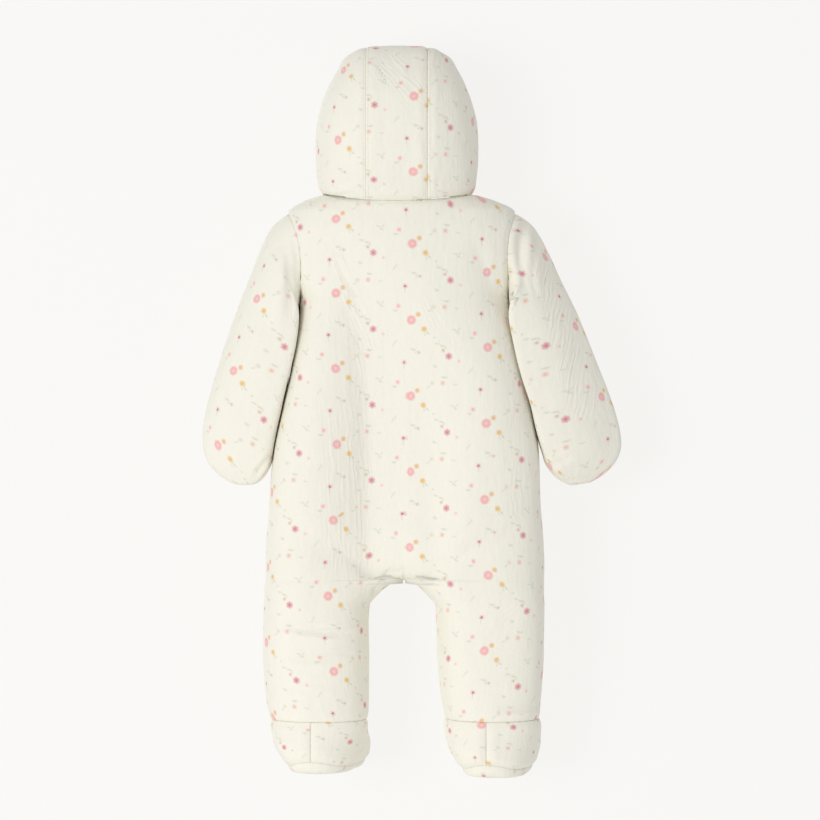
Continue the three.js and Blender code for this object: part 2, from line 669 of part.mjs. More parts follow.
// A ring of a foot: turn is 0 at the heel seam and goes once round by way of the toe. down is 0 at the
// ankle and 1 at the sole: on the way the toes swing sideways, and the heel seam comes to the heel's end.
function footPoint(name, section, z, down, turn) {
  const { centre, halfWidth, heel, toe, square } = section;
  const angle = 2 * Math.PI * turn + HEEL_SEAM_TURN * (1 - down);
  const reach = -((toe - heel) / 2) * power(Math.cos(angle), square);
  const across = -halfWidth * power(Math.sin(angle), square);
  return new THREE.Vector3(
    centre + across + FOOT_SLANT[name] * reach * Math.min(1, 2 * down),
    (heel + toe) / 2 + reach,
    z + heelRise(turn) * down - FOOT_DROP[name] * down,
  );
}

// The sole's seam rises round the heel, so that the sole shows from behind.
const heelRise = (turn) => HEEL_LIFT * Math.max(0, Math.cos(2 * Math.PI * turn)) ** 3;

const SOLE_MIDDLE_Y = 14;

// The level direction from a place on the rim of a foot to the middle of its sole.
function inwardOfFoot(name, point) {
  const centre = track(FEET, name + "Centre", FEET.at(-1).z);
  return new THREE.Vector3(centre - point.x, SOLE_MIDDLE_Y - point.y, 0).normalize();
}

function footUpper(name) {
  const columns = 20;
  const rowsZ = [ANKLE_Z - SEAM / 2, -523, -533, -543, -552, FEET.at(-1).z];
  const rows = rowsZ.map((z) => {
    const section = { centre: track(FEET, name + "Centre", z) };
    for (const column of ["halfWidth", "heel", "toe", "square"]) {
      section[column] = track(FEET, column, z);
    }
    const down = (rowsZ[0] - z) / (rowsZ[0] - rowsZ.at(-1));
    const ring = steps(columns).map((turn) => footPoint(name, section, z, down, turn));
    ring[0].x -= SEAM / 2;
    ring[columns].x += SEAM / 2;
    return ring;
  });
  const squared = (normal, i, j, point) => {
    if (i === 0) normal.setZ(0);
    if (i === rows.length - 1) normal.copy(inwardOfFoot(name, point)).negate();
    if (j === 0 || j === columns) normal.setX(0);
    return normal;
  };
  const inside = new THREE.Vector3(rows[3][0].x, 10, -540);
  return { geometry: clothWall(rows, inside, squared), rim: rows.at(-1) };
}

// The sole is a shallow dish that closes the foot just below its seam.
function footSole(name, rim) {
  const centre = track(FEET, name + "Centre", FEET.at(-1).z);
  const drop = FOOT_DROP[name];
  const count = rim.length - 1;
  const first = rim.map((point, j) => {
    const whole = point.clone();
    if (j === 0 || j === count) whole.setX((rim[0].x + rim[count].x) / 2);
    return whole.setZ(whole.z - SEAM);
  });
  const rings = SOLE.map(({ z, halfWidth, heel, toe, rise }) =>
    steps(count).map((turn) => {
      const point = footPoint(name, { centre, halfWidth, heel, toe, square: 2.4 }, z, 1, turn);
      return point.setZ(z - drop + heelRise(turn) * rise);
    }),
  );
  const rows = [first, ...rings];
  const thick = rows.map((row, k) => row.map((point) => {
    const inward = inwardOfFoot(name, point);
    const lean = (k * Math.PI) / 6;
    const thick = point.clone().addScaledVector(inward, WALL * Math.cos(lean));
    return thick.setZ(point.z + WALL * Math.sin(lean));
  }));
  const middle = new THREE.Vector3(centre, SOLE_MIDDLE_Y, SOLE.at(-1).z - drop - 0.3);
  const points = [...rows.flatMap((row) => row.slice(0, count)), middle];
  const inside = middle.clone().setZ(middle.z + WALL);
  const inner = [...thick.flatMap((row) => row.slice(0, count)), inside];
  const at = (i, j) => i * count + (j % count);
  const total = points.length;
  const index = [];
  for (let j = 0; j < count; j += 1) {
    for (let i = 0; i < rows.length - 1; i += 1) {
      const [a, b, c, d] = [at(i, j), at(i, j + 1), at(i + 1, j + 1), at(i + 1, j)];
      index.push(a, b, c, a, c, d);
      index.push(total + a, total + c, total + b, total + a, total + d, total + c);
    }
    const [p, q] = [at(rows.length - 1, j), at(rows.length - 1, j + 1)];
    index.push(p, q, total - 1, total + q, total + p, 2 * total - 1);
    const [a, b] = [at(0, j), at(0, j + 1)];
    index.push(a, total + a, b, b, total + a, total + b);
  }
  return solidGeometry([...points, ...inner], index);
}

// The line down the front in which the zip lies, with its outward direction.
function zipStation(z) {
  const place = (level) => bodyPoint(1, 1, level, 0, ZIP_HALF_GAP).setX(0);
  const along = place(z - 0.5).sub(place(z + 0.5)).normalize();
  const outward = new THREE.Vector3(0, -along.z, along.y).normalize();
  return { point: place(z), along, outward };
}

// Closed zip: two tapes and the coil between them, as one ribbon.
function zipRibbon() {
  const top = ZIP_BELOW_CLOTH;
  const section = [
    [-TAPE.halfWidth, -top - TAPE.thickness],
    [TAPE.halfWidth, -top - TAPE.thickness],
    [TAPE.halfWidth, -top],
    [COIL.halfWidth, -top],
    [COIL.halfWidth * 0.7, -top + COIL.height],
    [-COIL.halfWidth * 0.7, -top + COIL.height],
    [-COIL.halfWidth, -top],
    [-TAPE.halfWidth, -top],
  ];
  const rowsZ = TORSO_ROWS.filter((z) => z < -0.5 && z > ZIP_END_Z - 1);
  const rings = [-0.4, ...rowsZ].map((z) => {
    const { point, outward } = zipStation(z);
    return section.map(([x, out]) => point.clone().setX(point.x + x).addScaledVector(outward, out));
  });
  const count = section.length;
  const index = [];
  for (let i = 0; i < rings.length - 1; i += 1) {
    for (let k = 0; k < count; k += 1) {
      const [a, b] = [i * count + k, i * count + ((k + 1) % count)];
      index.push(a, b, b + count, a, b + count, a + count);
    }
  }
  const ends = THREE.ShapeUtils.triangulateShape(section.map(([x, y]) => new THREE.Vector2(x, y)), []);
  const last = (rings.length - 1) * count;
  ends.forEach(([a, b, c]) => index.push(a, c, b, last + a, last + b, last + c));
  return solidGeometry(rings.flat(), index);
}

// A closed three.js geometry as a solid, and back.
function solid(geometry) {
  const flat = geometry.index ? geometry.toNonIndexed() : geometry;
  const position = flat.getAttribute("position");
  const points = Array.from({ length: position.count }, (_, k) =>
    new THREE.Vector3().fromBufferAttribute(position, k),
  );
  const merged = solidGeometry(points, points.map((_, k) => k));
  return new wasm.Manifold(new wasm.Mesh({
    numProp: 3,
    vertProperties: merged.getAttribute("position").array,
    triVerts: new Uint32Array(merged.index.array),
  }));
}

function geometryOf(made) {
  const { vertProperties, triVerts, numProp } = made.getMesh();
  const geometry = new THREE.BufferGeometry();
  const points = new Float32Array((vertProperties.length / numProp) * 3);
  for (let k = 0; k < points.length / 3; k += 1) {
    points.set(vertProperties.subarray(k * numProp, k * numProp + 3), k * 3);
  }
  geometry.setAttribute("position", new THREE.BufferAttribute(points, 3));
  geometry.setIndex(new THREE.BufferAttribute(triVerts, 1));
  return geometry;
}

// A box between two corners in the slider's own frame: x across, y outward, z up along the zip.
function block(low, high) {
  const size = high.map((value, k) => value - low[k]);
  return new THREE.BoxGeometry(...size).translate(...low.map((value, k) => value + size[k] / 2));
}

function rod(radius, halfLength, y) {
  const round = new THREE.CylinderGeometry(radius, radius, 2 * halfLength, 20);
  return round.rotateZ(Math.PI / 2).translate(0, y, 0);
}

const SLIDER_TOP = COIL.height - ZIP_BELOW_CLOTH + SLIDER.aboveCoil + SLIDER.plate;
const HINGE_OUT = SLIDER_TOP + HINGE.above;

// The slider: a plate over the coil with a lip on each side, two lugs and the pin between them.
function zipSlider() {
  const base = SLIDER_TOP - SLIDER.plate;
  const half = SLIDER.length / 2;
  const shape = new THREE.Shape();
  shape.moveTo(-SLIDER.halfWidth, -half + 2);
  shape.quadraticCurveTo(0, -half - 1.2, SLIDER.halfWidth, -half + 2);
  shape.lineTo(SLIDER.halfWidth - 0.8, half - 1);
  shape.quadraticCurveTo(0, half + 1.4, -SLIDER.halfWidth + 0.8, half - 1);
  const flat = { depth: SLIDER.plate, bevelEnabled: false, curveSegments: 8 };
  const plate = new THREE.ExtrudeGeometry(shape, flat)
    .rotateX(Math.PI / 2)
    .translate(0, SLIDER_TOP, 0);
  let made = solid(plate);
  for (const side of [-1, 1]) {
    const across = (from, to) => [side * from, side * to].sort((a, b) => a - b);
    const [lipLow, lipHigh] = across(2.7, 3.1);
    const lip = block([lipLow, base - SLIDER.lip, -half + 3], [lipHigh, base + 0.2, half - 2]);
    const [low, high] = across(HINGE.halfSpan - HINGE.lug, HINGE.halfSpan);
    const top = HINGE_OUT + HINGE.pin + 0.5;
    const lug = block([low, SLIDER_TOP - 0.2, -HINGE.pin - 0.8], [high, top, HINGE.pin + 0.8]);
    made = made.add(solid(lip)).add(solid(lug));
  }
  return geometryOf(made.add(solid(rod(HINGE.pin, HINGE.halfSpan - 0.3, HINGE_OUT))));
}

// The pull: a knuckle round the pin and a flat tab with a round hole near its end.
function zipPull() {
  const tab = new THREE.Shape();
  const end = -PULL.length;
  tab.moveTo(-HINGE.halfLength, 0);
  tab.lineTo(HINGE.halfLength, 0);
  tab.lineTo(HINGE.halfLength, -3.5);
  tab.lineTo(PULL.halfWidth, -7);
  tab.lineTo(PULL.halfWidth, end + PULL.halfWidth);
  tab.absarc(0, end + PULL.halfWidth, PULL.halfWidth, 0, -Math.PI, true);
  tab.lineTo(-PULL.halfWidth, -7);
  tab.lineTo(-HINGE.halfLength, -3.5);
  const hole = new THREE.Path();
  hole.absarc(0, end + PULL.halfWidth, PULL.hole, 0, 2 * Math.PI, false);
  tab.holes.push(hole);
  const flat = { depth: PULL.thickness, bevelEnabled: false, curveSegments: 8 };
  const plate = new THREE.ExtrudeGeometry(tab, flat)
    .rotateX(Math.PI / 2)
    .translate(0, HINGE_OUT + PULL.thickness / 2, 0);
  const made = solid(plate)
    .add(solid(rod(HINGE.knuckle, HINGE.halfLength, HINGE_OUT)))
    .subtract(solid(rod(HINGE.bore, HINGE.halfLength + 1, HINGE_OUT)));
  return geometryOf(made);
}

const paint = (colour, roughness = 0.95, metalness = 0) =>
  new THREE.MeshStandardMaterial({ color: colour, roughness, metalness });

function piece(name, geometry, material) {
  const mesh = new THREE.Mesh(geometry, material);
  mesh.name = name;
  return mesh;
}

const suit = new THREE.Group();
const cloth = () => paint(COLOURS.cloth);
suit.add(piece("back_panel", backPanel(), cloth()));
suit.add(piece("hood_middle", hoodMiddle(), cloth()));
for (const name of ["left", "right"]) {
  suit.add(piece("front_" + name, frontPanel(MIRROR[name]), cloth()));
  suit.add(piece("sleeve_back_" + name, sleeveHalf(name, -1), cloth()));
  suit.add(piece("sleeve_front_" + name, sleeveHalf(name, 1), cloth()));
  suit.add(piece("hood_side_" + name, hoodSide(name), cloth()));
  const foot = footUpper(name);
  suit.add(piece("foot_upper_" + name, foot.geometry, cloth()));
  suit.add(piece("foot_sole_" + name, footSole(name, foot.rim), paint(COLOURS.sole)));
}
suit.add(piece("zip_tape", zipRibbon(), paint(COLOURS.tape, 0.8)));

// The slider and its pull stand on the zip's own line near the neck.
const seat = zipStation(SLIDER.z);
const hardware = new THREE.Group();
hardware.position.copy(seat.point);
hardware.quaternion.setFromRotationMatrix(
  new THREE.Matrix4().makeBasis(new THREE.Vector3(1, 0, 0), seat.outward, seat.along.clone().negate()),
);
hardware.add(piece("zip_slider", zipSlider(), paint(COLOURS.metal, 0.35, 0.8)));
hardware.add(piece("zip_pull", zipPull(), paint(COLOURS.metal, 0.35, 0.8)));
suit.add(hardware);

export default suit;
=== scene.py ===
"""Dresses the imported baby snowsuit: padded crinkled cloth with a flower print, a zip, and a plain studio.

The pattern cutter's sizes below are in millimetres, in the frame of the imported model: +Z up, the back of the
suit faces -Y, the wearer's left is at -X, and the origin is the middle of the neck opening.
"""
import json
import logging
import math
from dataclasses import dataclass, field
from enum import Enum
from typing import Any, Callable, Iterable, Optional, Sequence, Union

import bpy
import numpy as np
from mathutils import Matrix, Vector
from mathutils.kdtree import KDTree

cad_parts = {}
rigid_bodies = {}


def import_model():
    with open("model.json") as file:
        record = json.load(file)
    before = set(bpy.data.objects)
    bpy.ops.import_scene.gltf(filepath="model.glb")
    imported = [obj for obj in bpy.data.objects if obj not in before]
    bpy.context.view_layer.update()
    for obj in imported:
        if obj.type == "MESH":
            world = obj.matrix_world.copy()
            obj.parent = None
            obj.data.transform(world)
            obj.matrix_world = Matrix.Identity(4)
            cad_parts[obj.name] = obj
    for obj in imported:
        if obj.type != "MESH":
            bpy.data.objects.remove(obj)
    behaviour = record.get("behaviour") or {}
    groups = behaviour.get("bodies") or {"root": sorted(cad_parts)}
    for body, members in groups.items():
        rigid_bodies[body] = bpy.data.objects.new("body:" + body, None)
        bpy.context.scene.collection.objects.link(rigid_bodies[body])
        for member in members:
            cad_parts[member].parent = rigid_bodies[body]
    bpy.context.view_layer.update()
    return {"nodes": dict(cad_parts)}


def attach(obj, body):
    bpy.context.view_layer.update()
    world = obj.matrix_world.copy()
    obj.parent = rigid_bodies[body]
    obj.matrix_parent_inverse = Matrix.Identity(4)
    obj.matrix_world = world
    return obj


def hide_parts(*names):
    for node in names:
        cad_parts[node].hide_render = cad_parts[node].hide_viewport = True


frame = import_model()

LOG = logging.getLogger("snowsuit")
MM = 0.001


class Side(Enum):
    """The wearer's side that a piece is sewn on."""

    LEFT = -1
    RIGHT = 1

    @property
    def word(self) -> str:
        """The side's name in node names."""
        return self.name.lower()


class Face(Enum):
    """Whether a piece belongs to the back of the suit or to its front."""

    BACK = -1
    FRONT = 1

    @property
    def word(self) -> str:
        """The face's name in node names."""
        return self.name.lower()


# --------------------------------------------------------------------------------------------------
# Sizes: smooth tables, folds and noise
# --------------------------------------------------------------------------------------------------


class Profile:
    """Smooth curves through the rows of a size table, which never overshoot a row."""

    def __init__(self, columns: str, rows: Sequence[Sequence[float]]) -> None:
        """Keeps the table.

        Args:
            columns: The columns' names; the first is the key.
            rows: The table's rows, in rising or falling order of the key.
        """
        data = np.array(rows, float)
        data = data[np.argsort(data[:, 0])]
        self.key = data[:, 0]
        self.columns = {name: data[:, k] for k, name in enumerate(columns.split())}

    def at(self, column: str, key: Any) -> np.ndarray:
        """Reads a column.

        Args:
            column: The column's name.
            key: One key, or an array of them.

        Returns:
            The column's values there.
        """
        x = np.clip(np.asarray(key, float), self.key[0], self.key[-1])
        y = self.columns[column]
        step = np.diff(self.key)
        secant = np.diff(y) / step
        before, after = secant[:-1], secant[1:]
        same = before * after > 0
        inner = np.where(same, 2 * before * after / np.where(same, before + after, 1.0), 0.0)
        slope = np.concatenate([secant[:1], inner, secant[-1:]])
        k = np.clip(np.searchsorted(self.key, x, side="right") - 1, 0, len(step) - 1)
        t = (x - self.key[k]) / step[k]
        return (
            y[k] * (1 + 2 * t) * (1 - t) ** 2
            + y[k + 1] * t * t * (3 - 2 * t)
            + step[k] * slope[k] * t * (1 - t) ** 2
            - step[k] * slope[k + 1] * t * t * (1 - t)
        )


TORSO = Profile(
    "z centre half back front square",
    [
        (0, -5, 73.5, 51.5, 54, 2.1),
        (-5, -4, 95, 54.5, 57.5, 2.1),
        (-13, -2.5, 113, 57, 60, 2.15),
        (-34, -1, 122, 60, 63.5, 2.2),
        (-55, 0, 120, 61, 66, 2.2),
        (-76, 0.5, 114, 61.5, 68, 2.2),
        (-96, 0.5, 104, 62, 69.5, 2.4),
        (-126, 2.2, 108.3, 62, 70.5, 2.7),
        (-166, 2.8, 115.8, 62, 71.5, 3.1),
        (-201, 3, 123, 62, 71.5, 3.4),
        (-246, 2.2, 131.3, 62, 70, 3.5),
        (-296, 0.5, 134.5, 61.5, 67, 3.5),
        (-346, 0.5, 137.5, 59.5, 62, 3.3),
        (-374, 0.5, 138.5, 58.5, 60, 3.1),
    ],
)
LEGS = Profile(
    "z leftOuter leftInner rightInner rightOuter back front leftSquare rightSquare",
    [
        (-374, -138, 0, 0, 139, 54.5, 56, 2.8, 2.8),
        (-377, -138, -9, 8, 139, 54.5, 56, 2.8, 2.8),
        (-383, -138.5, -19, 16, 139, 54.4, 55.9, 2.75, 2.8),
        (-391, -138.5, -27, 23.5, 139, 54, 55.5, 2.7, 2.8),
        (-401, -139, -34.5, 31, 139.5, 53, 54.5, 2.6, 2.8),
        (-416, -139.5, -35.5, 32, 139.5, 51.3, 53, 2.4, 2.6),
        (-446, -140, -35, 33, 139.5, 48.6, 50.3, 2.3, 2.5),
        (-486, -138, -35.5, 36, 137.5, 46, 48, 2.2, 2.4),
        (-502, -136, -35.8, 38.5, 136, 45, 47, 2.2, 2.4),
        (-514, -134, -36, 41, 135, 44, 46.5, 2.2, 2.2),
    ],
)
FEET = Profile(
    "z leftCentre rightCentre half heel toe square",
    [
        (-514, -85, 88, 48.2, -44, 46.5, 2.2),
        (-523, -84.5, 88.5, 48.2, -45, 51, 2.2),
        (-533, -83, 89.5, 47, -46, 60, 2.3),
        (-543, -80.5, 91, 44.2, -46.5, 68, 2.4),
        (-552, -78.5, 92.8, 39.8, -45.5, 72.5, 2.5),
        (-559.5, -77.5, 94, 35.5, -43, 73, 2.5),
    ],
)
SOLE_RINGS = ((-563, 33, -41.5, 71, 0.6), (-566.2, 28, -36.5, 66, 0.2), (-567.8, 17, -22, 50, 0))
ARMHOLE = Profile(
    "z edge",
    [(-14, 113.8), (-17, 112), (-24, 109), (-36, 105), (-58, 102.6), (-76, 102.6), (-90, 103.4), (-96, 104)],
)
HOOD = Profile(
    "z half back front face",
    [
        (0, 74.2, 52.2, 54.8, 52),
        (12, 78, 60.5, 74, 58),
        (28, 80, 70, 94, 65),
        (50, 81.2, 76.5, 106, 74),
        (75, 80.2, 78, 110, 80),
        (100, 74.8, 75.5, 109, 82),
        (116, 68.5, 70.5, 105, 81),
        (131, 60.5, 62.5, 97, 79),
        (143, 53.5, 52, 84, 76),
        (150, 43.5, 42, 69, 73),
        (154.5, 31, 30, 50, 70),
        (157, 6, 6, 10, 66),
    ],
)
# Sleeve sections from the armhole to the tip of the mitt: the outer edge, the height of the inner edge,
# how far that stands from the body's side or its own place instead, and the half depth.
SLEEVES = {
    Side.RIGHT: (
        (130, -24, -101, 0, None, 36.5),
        (144, -48, -107, 0, None, 37),
        (158, -78, -117, 0, None, 37),
        (173, -109, -136, 0, None, 36),
        (186, -141, -168, 0, None, 35),
        (199, -174, -200, 0, None, 33.5),
        (210, -203, -229, 0.3, None, 31),
        (216.5, -229, -249, 4, None, 28),
        (217, -246, -261, None, 143, 24),
        (210.5, -260, -270.5, None, 150.5, 18.5),
        (199, -271.5, -277, None, 158.5, 12),
        (186, -279, -281, None, 168, 0),
    ),
    Side.LEFT: (
        (133, -25, -101, 0, None, 36.5),
        (144, -47, -107, 0, None, 37),
        (155, -76, -117, 0, None, 37),
        (166.5, -107, -135, 0, None, 36),
        (178, -140, -163, 0, None, 35),
        (189, -173, -194, 0, None, 33.5),
        (197, -203, -222, 0, None, 31),
        (201, -229, -244, 0, None, 28),
        (199.5, -248, -258, None, 132.5, 24),
        (193, -263, -268.5, None, 137.5, 18.5),
        (180, -274.5, -276.5, None, 144, 12),
        (167, -280.5, -280.5, None, 152, 0),
    ),
}


def power(value: Any, square: Any) -> np.ndarray:
    """A sine or cosine on the outline of a rounded box; 2 gives the ellipse's own."""
    return np.sign(value) * np.abs(value) ** (2 / np.asarray(square, float))


def mix(a: Any, b: Any, share: Any) -> Any:
    """The value between a and b at a share of the way."""
    return a + (b - a) * share


def smooth(value: Any) -> np.ndarray:
    """A smooth step from 0 to 1."""
    t = np.clip(value, 0, 1)
    return t * t * (3 - 2 * t)


def angle_at(out: Any, half: Any, square: Any) -> np.ndarray:
    """The angle at which a section stands a given way out from its centre."""
    return np.arccos(power(np.clip(np.asarray(out, float) / half, -1, 1), 4 / np.asarray(square, float)))


def points_of(x: Any, y: Any, z: Any) -> np.ndarray:
    """Stacks coordinates into an array of points."""
    return np.stack(np.broadcast_arrays(x, y, z), axis=-1).astype(float)


def hermite(stations: np.ndarray, key: np.ndarray) -> np.ndarray:
    """A smooth line through stations.

    Args:
        stations: One array for each station, stacked along the first axis.
        key: Places along the line, where 0 is the first station and 1 the next.

    Returns:
        The places' arrays, stacked in the same way.
    """
    last = len(stations) - 1
    slope = np.gradient(stations, axis=0)
    k = np.clip(np.floor(key).astype(int), 0, last - 1)
    t = (key - k).reshape((-1,) + (1,) * (stations.ndim - 1))
    return (
        stations[k] * (1 + 2 * t) * (1 - t) ** 2
        + stations[k + 1] * t * t * (3 - 2 * t)
        + slope[k] * t * (1 - t) ** 2
        - slope[k + 1] * t * t * (1 - t)
    )


class Folds:
    """Folds pressed into the cloth along straight lines, as seen from behind or in front."""

    def __init__(self, rows: Sequence[Sequence[float]], crisp: bool = False) -> None:
        """Keeps the folds.

        Args:
            rows: x0, z0, x1, z1, width and depth of each; a negative depth is a ridge.
            crisp: Whether each fold throws up a small ridge on both sides, as a sharp crease does.
        """
        self.rows = rows
        self.crisp = crisp

    def press(self, x: np.ndarray, z: np.ndarray) -> np.ndarray:
        """How deep the folds press at each place."""
        depth = np.zeros(np.broadcast(x, z).shape)
        for x0, z0, x1, z1, width, deep in self.rows:
            ux, uz = x1 - x0, z1 - z0
            length = math.hypot(ux, uz)
            along = np.clip(((x - x0) * ux + (z - z0) * uz) / length**2, 0, 1)
            if not self.crisp:
                away = np.hypot(x - x0 - along * ux, z - z0 - along * uz)
                taper = np.sin(np.pi * np.clip(0.12 + 0.76 * along, 0, 1))
                depth += deep * taper * np.exp(-((away / width) ** 2))
                continue
            bow = 0.05 * length * np.sin(np.pi * along)
            across = ((x - x0) * uz - (z - z0) * ux) / length - bow
            past = np.hypot(x - x0 - along * ux, z - z0 - along * uz) ** 2 - (across + bow) ** 2
            near = np.exp(-np.maximum(past, 0) / (1.2 * width) ** 2)
            taper = np.sin(np.pi * np.clip(0.04 + 0.92 * along, 0, 1)) ** 0.7
            a = across / width
            shape = np.exp(-(a**2)) - 0.45 * np.exp(-((a - 1.7) ** 2)) - 0.45 * np.exp(-((a + 1.7) ** 2))
            depth += deep * taper * near * shape
        return depth


class Grain:
    """Smooth noise in three dimensions, the same on every run."""

    def __init__(self, seed: int) -> None:
        """Draws the noise's table from a seed."""
        self.table = np.random.default_rng(seed).uniform(-1, 1, (32, 32, 32))

    def at(self, points: np.ndarray, size: Sequence[float]) -> np.ndarray:
        """The noise at each point.

        Args:
            points: Points in millimetres.
            size: The size of one wave along X, Y and Z.

        Returns:
            Values from -1 to 1.
        """
        q = points / np.asarray(size, float)
        base = np.floor(q).astype(int)
        f = q - base
        f = f * f * (3 - 2 * f)
        total = np.zeros(len(points))
        for corner in range(8):
            bits = np.array([corner & 1, corner >> 1 & 1, corner >> 2 & 1])
            i = (base + bits) % 32
            weight = np.prod(np.where(bits, f, 1 - f), axis=1)
            total += weight * self.table[i[:, 0], i[:, 1], i[:, 2]]
        return total


class Valley:
    """A valley down the back: its left side falls more and more steeply, and its right bank is short."""

    def __init__(self, rows: Sequence[Sequence[float]]) -> None:
        """Keeps the height, the bottom's and the left brim's places, the depth and the right bank's width."""
        self.rows = Profile("z bottom brim depth bank", rows)

    def press(self, x: np.ndarray, z: np.ndarray) -> np.ndarray:
        """How deep the valley is at each place."""
        bottom, brim, depth, bank = (self.rows.at(name, z) for name in ("bottom", "brim", "depth", "bank"))
        found = 0.0
        for shift in (-6, -3, 0, 3, 6):
            down = np.clip((x + shift - brim) / (bottom - brim), 0, 1) ** 1.7
            found = found + down * (1 - smooth((x + shift - bottom) / bank)) / 5
        return depth * found


VALLEYS = (
    Valley([
        (-24, -72, -112, 0, 90),
        (-52, -69, -112, 4, 95),
        (-96, -57, -104, 12, 105),
        (-146, -45, -100, 19, 115),
        (-196, -40, -99, 24, 120),
        (-246, -38, -100, 27, 120),
        (-296, -38, -104, 27, 120),
        (-336, -37, -106, 23, 105),
        (-366, -36, -108, 17, 75),
        (-396, -36, -110, 8, 40),
        (-420, -37, -114, 0, 20),
    ]),
    Valley([
        (-150, 20, -10, 0, 40),
        (-230, 22, -4, 2.4, 40),
        (-296, 24, 0, 4.2, 36),
        (-346, 26, 4, 4.5, 32),
        (-376, 27, 8, 2.5, 26),
        (-396, 29, 12, 0, 20),
    ]),
)

BACK_FOLDS = Folds([
    (-118, -417, -52, -427, 5, 3),
    (-108, -455, -44, -447, 7, 2),
    (96, -500, 132, -498, 5, 2),
    (70, -40, 86, -88, 9, 2.5),
])
FRONT_FOLDS = Folds([
    (-86, -70, -60, -210, 20, 5),
    (84, -70, 62, -220, 20, 5),
    (-30, -330, -84, -388, 12, 4),
    (28, -334, 82, -384, 12, 4),
    (52, -430, 118, -424, 6, 3),
    (-118, -468, -60, -474, 6, 2.5),
])
SLEEVE_FOLDS = Folds([
    (113, -30, 121, -92, 6, 4),
    (126, -26, 132, -80, 6, -3),
    (136, -246, 160, -254, 5, 3),
    (-107, -50, -112, -110, 6, 3),
    (-119, -60, -124, -120, 7, -3),
])

# Single creases that stand in the cloth itself.
BACK_CREASES = Folds([
    # below the shoulders
    (-68, -51, -44, -98, 2.6, 1.2),
    (-56, -76, -30, -128, 2.6, 1.1),
    # the right shoulder's gathers
    (114, -16, 104, -52, 3.0, -1.6),
    (121, -20, 113, -66, 3.0, 1.4),
    (128, -26, 121, -84, 3.2, -1.4),
    (134, -34, 130, -96, 3.0, 1.0),
    # the left shoulder's gathers
    (-108, -22, -103, -62, 3.2, 1.2),
    (-114, -46, -110, -96, 3.2, 1.0),
    # the arch between the legs
    (-34, -406, -29, -382, 2.2, 1.5),
    (-30, -386, -16, -365, 2.2, 1.4),
    (-18, -366, 2, -364, 2.0, 0.9),
    (24, -390, 31, -402, 2.2, 0.8),
    # across the legs
    (-117, -418, -50, -425, 2.6, 1.5),
    (-112, -451, -50, -446, 2.6, 1.2),
    (-104, -472, -62, -476, 2.6, 0.6),
    (95, -500, 132, -499, 2.6, 1.3),
    (60, -478, 96, -483, 2.4, 0.5),
    # the mitts
    (-129, -250, -149, -274, 3.0, 1.5),
    (138, -262, 166, -252, 3.0, 1.2),
    # beside the hood's right seam
    (29.0, 150, 29.5, 14, 2.0, -1.1),
    # the fold at the nape
    (-82, 7, -48, 14, 3.0, -1.5),
    (-50, 8, -14, 6, 3.0, -0.7),
], crisp=True)
FRONT_CREASES = Folds([
    (-64, -60, -36, -104, 2.6, 1.2),
    (60, -58, 38, -98, 2.6, 1.2),
    (-20, -338, -64, -372, 2.6, 1.2),
    (22, -340, 70, -372, 2.6, 1.2),
    (60, -428, 116, -423, 2.6, 1.3),
    (-116, -466, -62, -472, 2.6, 1.2),
    (-108, -440, -66, -436, 2.6, 0.8),
    (114, -16, 106, -56, 3.0, 1.2),
    (-110, -20, -104, -60, 3.0, 1.2),
], crisp=True)

# Low broad rolls.
BACK_ROLLS = Folds([
    (62, -120, 66, -330, 26, -1.4),
    (92, -120, 96, -340, 18, -1.6),
    (-40, -400, -42, -500, 12, 1.2),
])


@dataclass(frozen=True)
class Bundle:
    """A bundle of fine parallel wrinkles along a line, seen from behind or in front.

    Args:
        x0, z0, x1, z1: The line's ends.
        half: Half the bundle's width.
        lean: The wrinkles' slope from the vertical, in degrees; their lower ends lie to +X.
        depth: How strongly they show.
    """

    x0: float
    z0: float
    x1: float
    z1: float
    half: float
    lean: float
    depth: float

    def weight(self, x: np.ndarray, z: np.ndarray) -> np.ndarray:
        """How strongly the bundle shows at each place."""
        ux, uz = self.x1 - self.x0, self.z1 - self.z0
        along = np.clip(((x - self.x0) * ux + (z - self.z0) * uz) / (ux * ux + uz * uz), 0, 1)
        away = np.hypot(x - self.x0 - along * ux, z - self.z0 - along * uz)
        return self.depth * smooth(1.5 - 1.1 * away / self.half)


BACK_BUNDLES = (
    Bundle(-66, -58, -36, -140, 13, 24, 1.0),
    Bundle(-62, -150, -54, -350, 25, 2, 0.75),
    Bundle(-70, -120, -68, -200, 14, 12, 0.6),
    Bundle(26, -106, 40, -138, 11, 26, 0.8),
    Bundle(142, -66, 178, -200, 16, -11, 1.0),
    Bundle(106, -196, 112, -300, 9, 2, 0.45),
    Bundle(-16, 134, 12, 102, 13, 40, 0.9),
    Bundle(-30, 126, -24, 112, 7, 20, 0.6),
    Bundle(-109, -58, -108, -112, 7, 2, 0.5),
    Bundle(-112, -420, -56, -424, 6, 88, 0.9),
    Bundle(-106, -450, -56, -447, 6, 93, 0.7),
    Bundle(94, -386, 108, -412, 11, -48, 0.6),
    Bundle(98, -500, 126, -499, 5, 90, 0.7),
    Bundle(84, -440, 112, -458, 12, 60, 0.35),
    Bundle(-100, -480, -60, -494, 10, 80, 0.35),
)
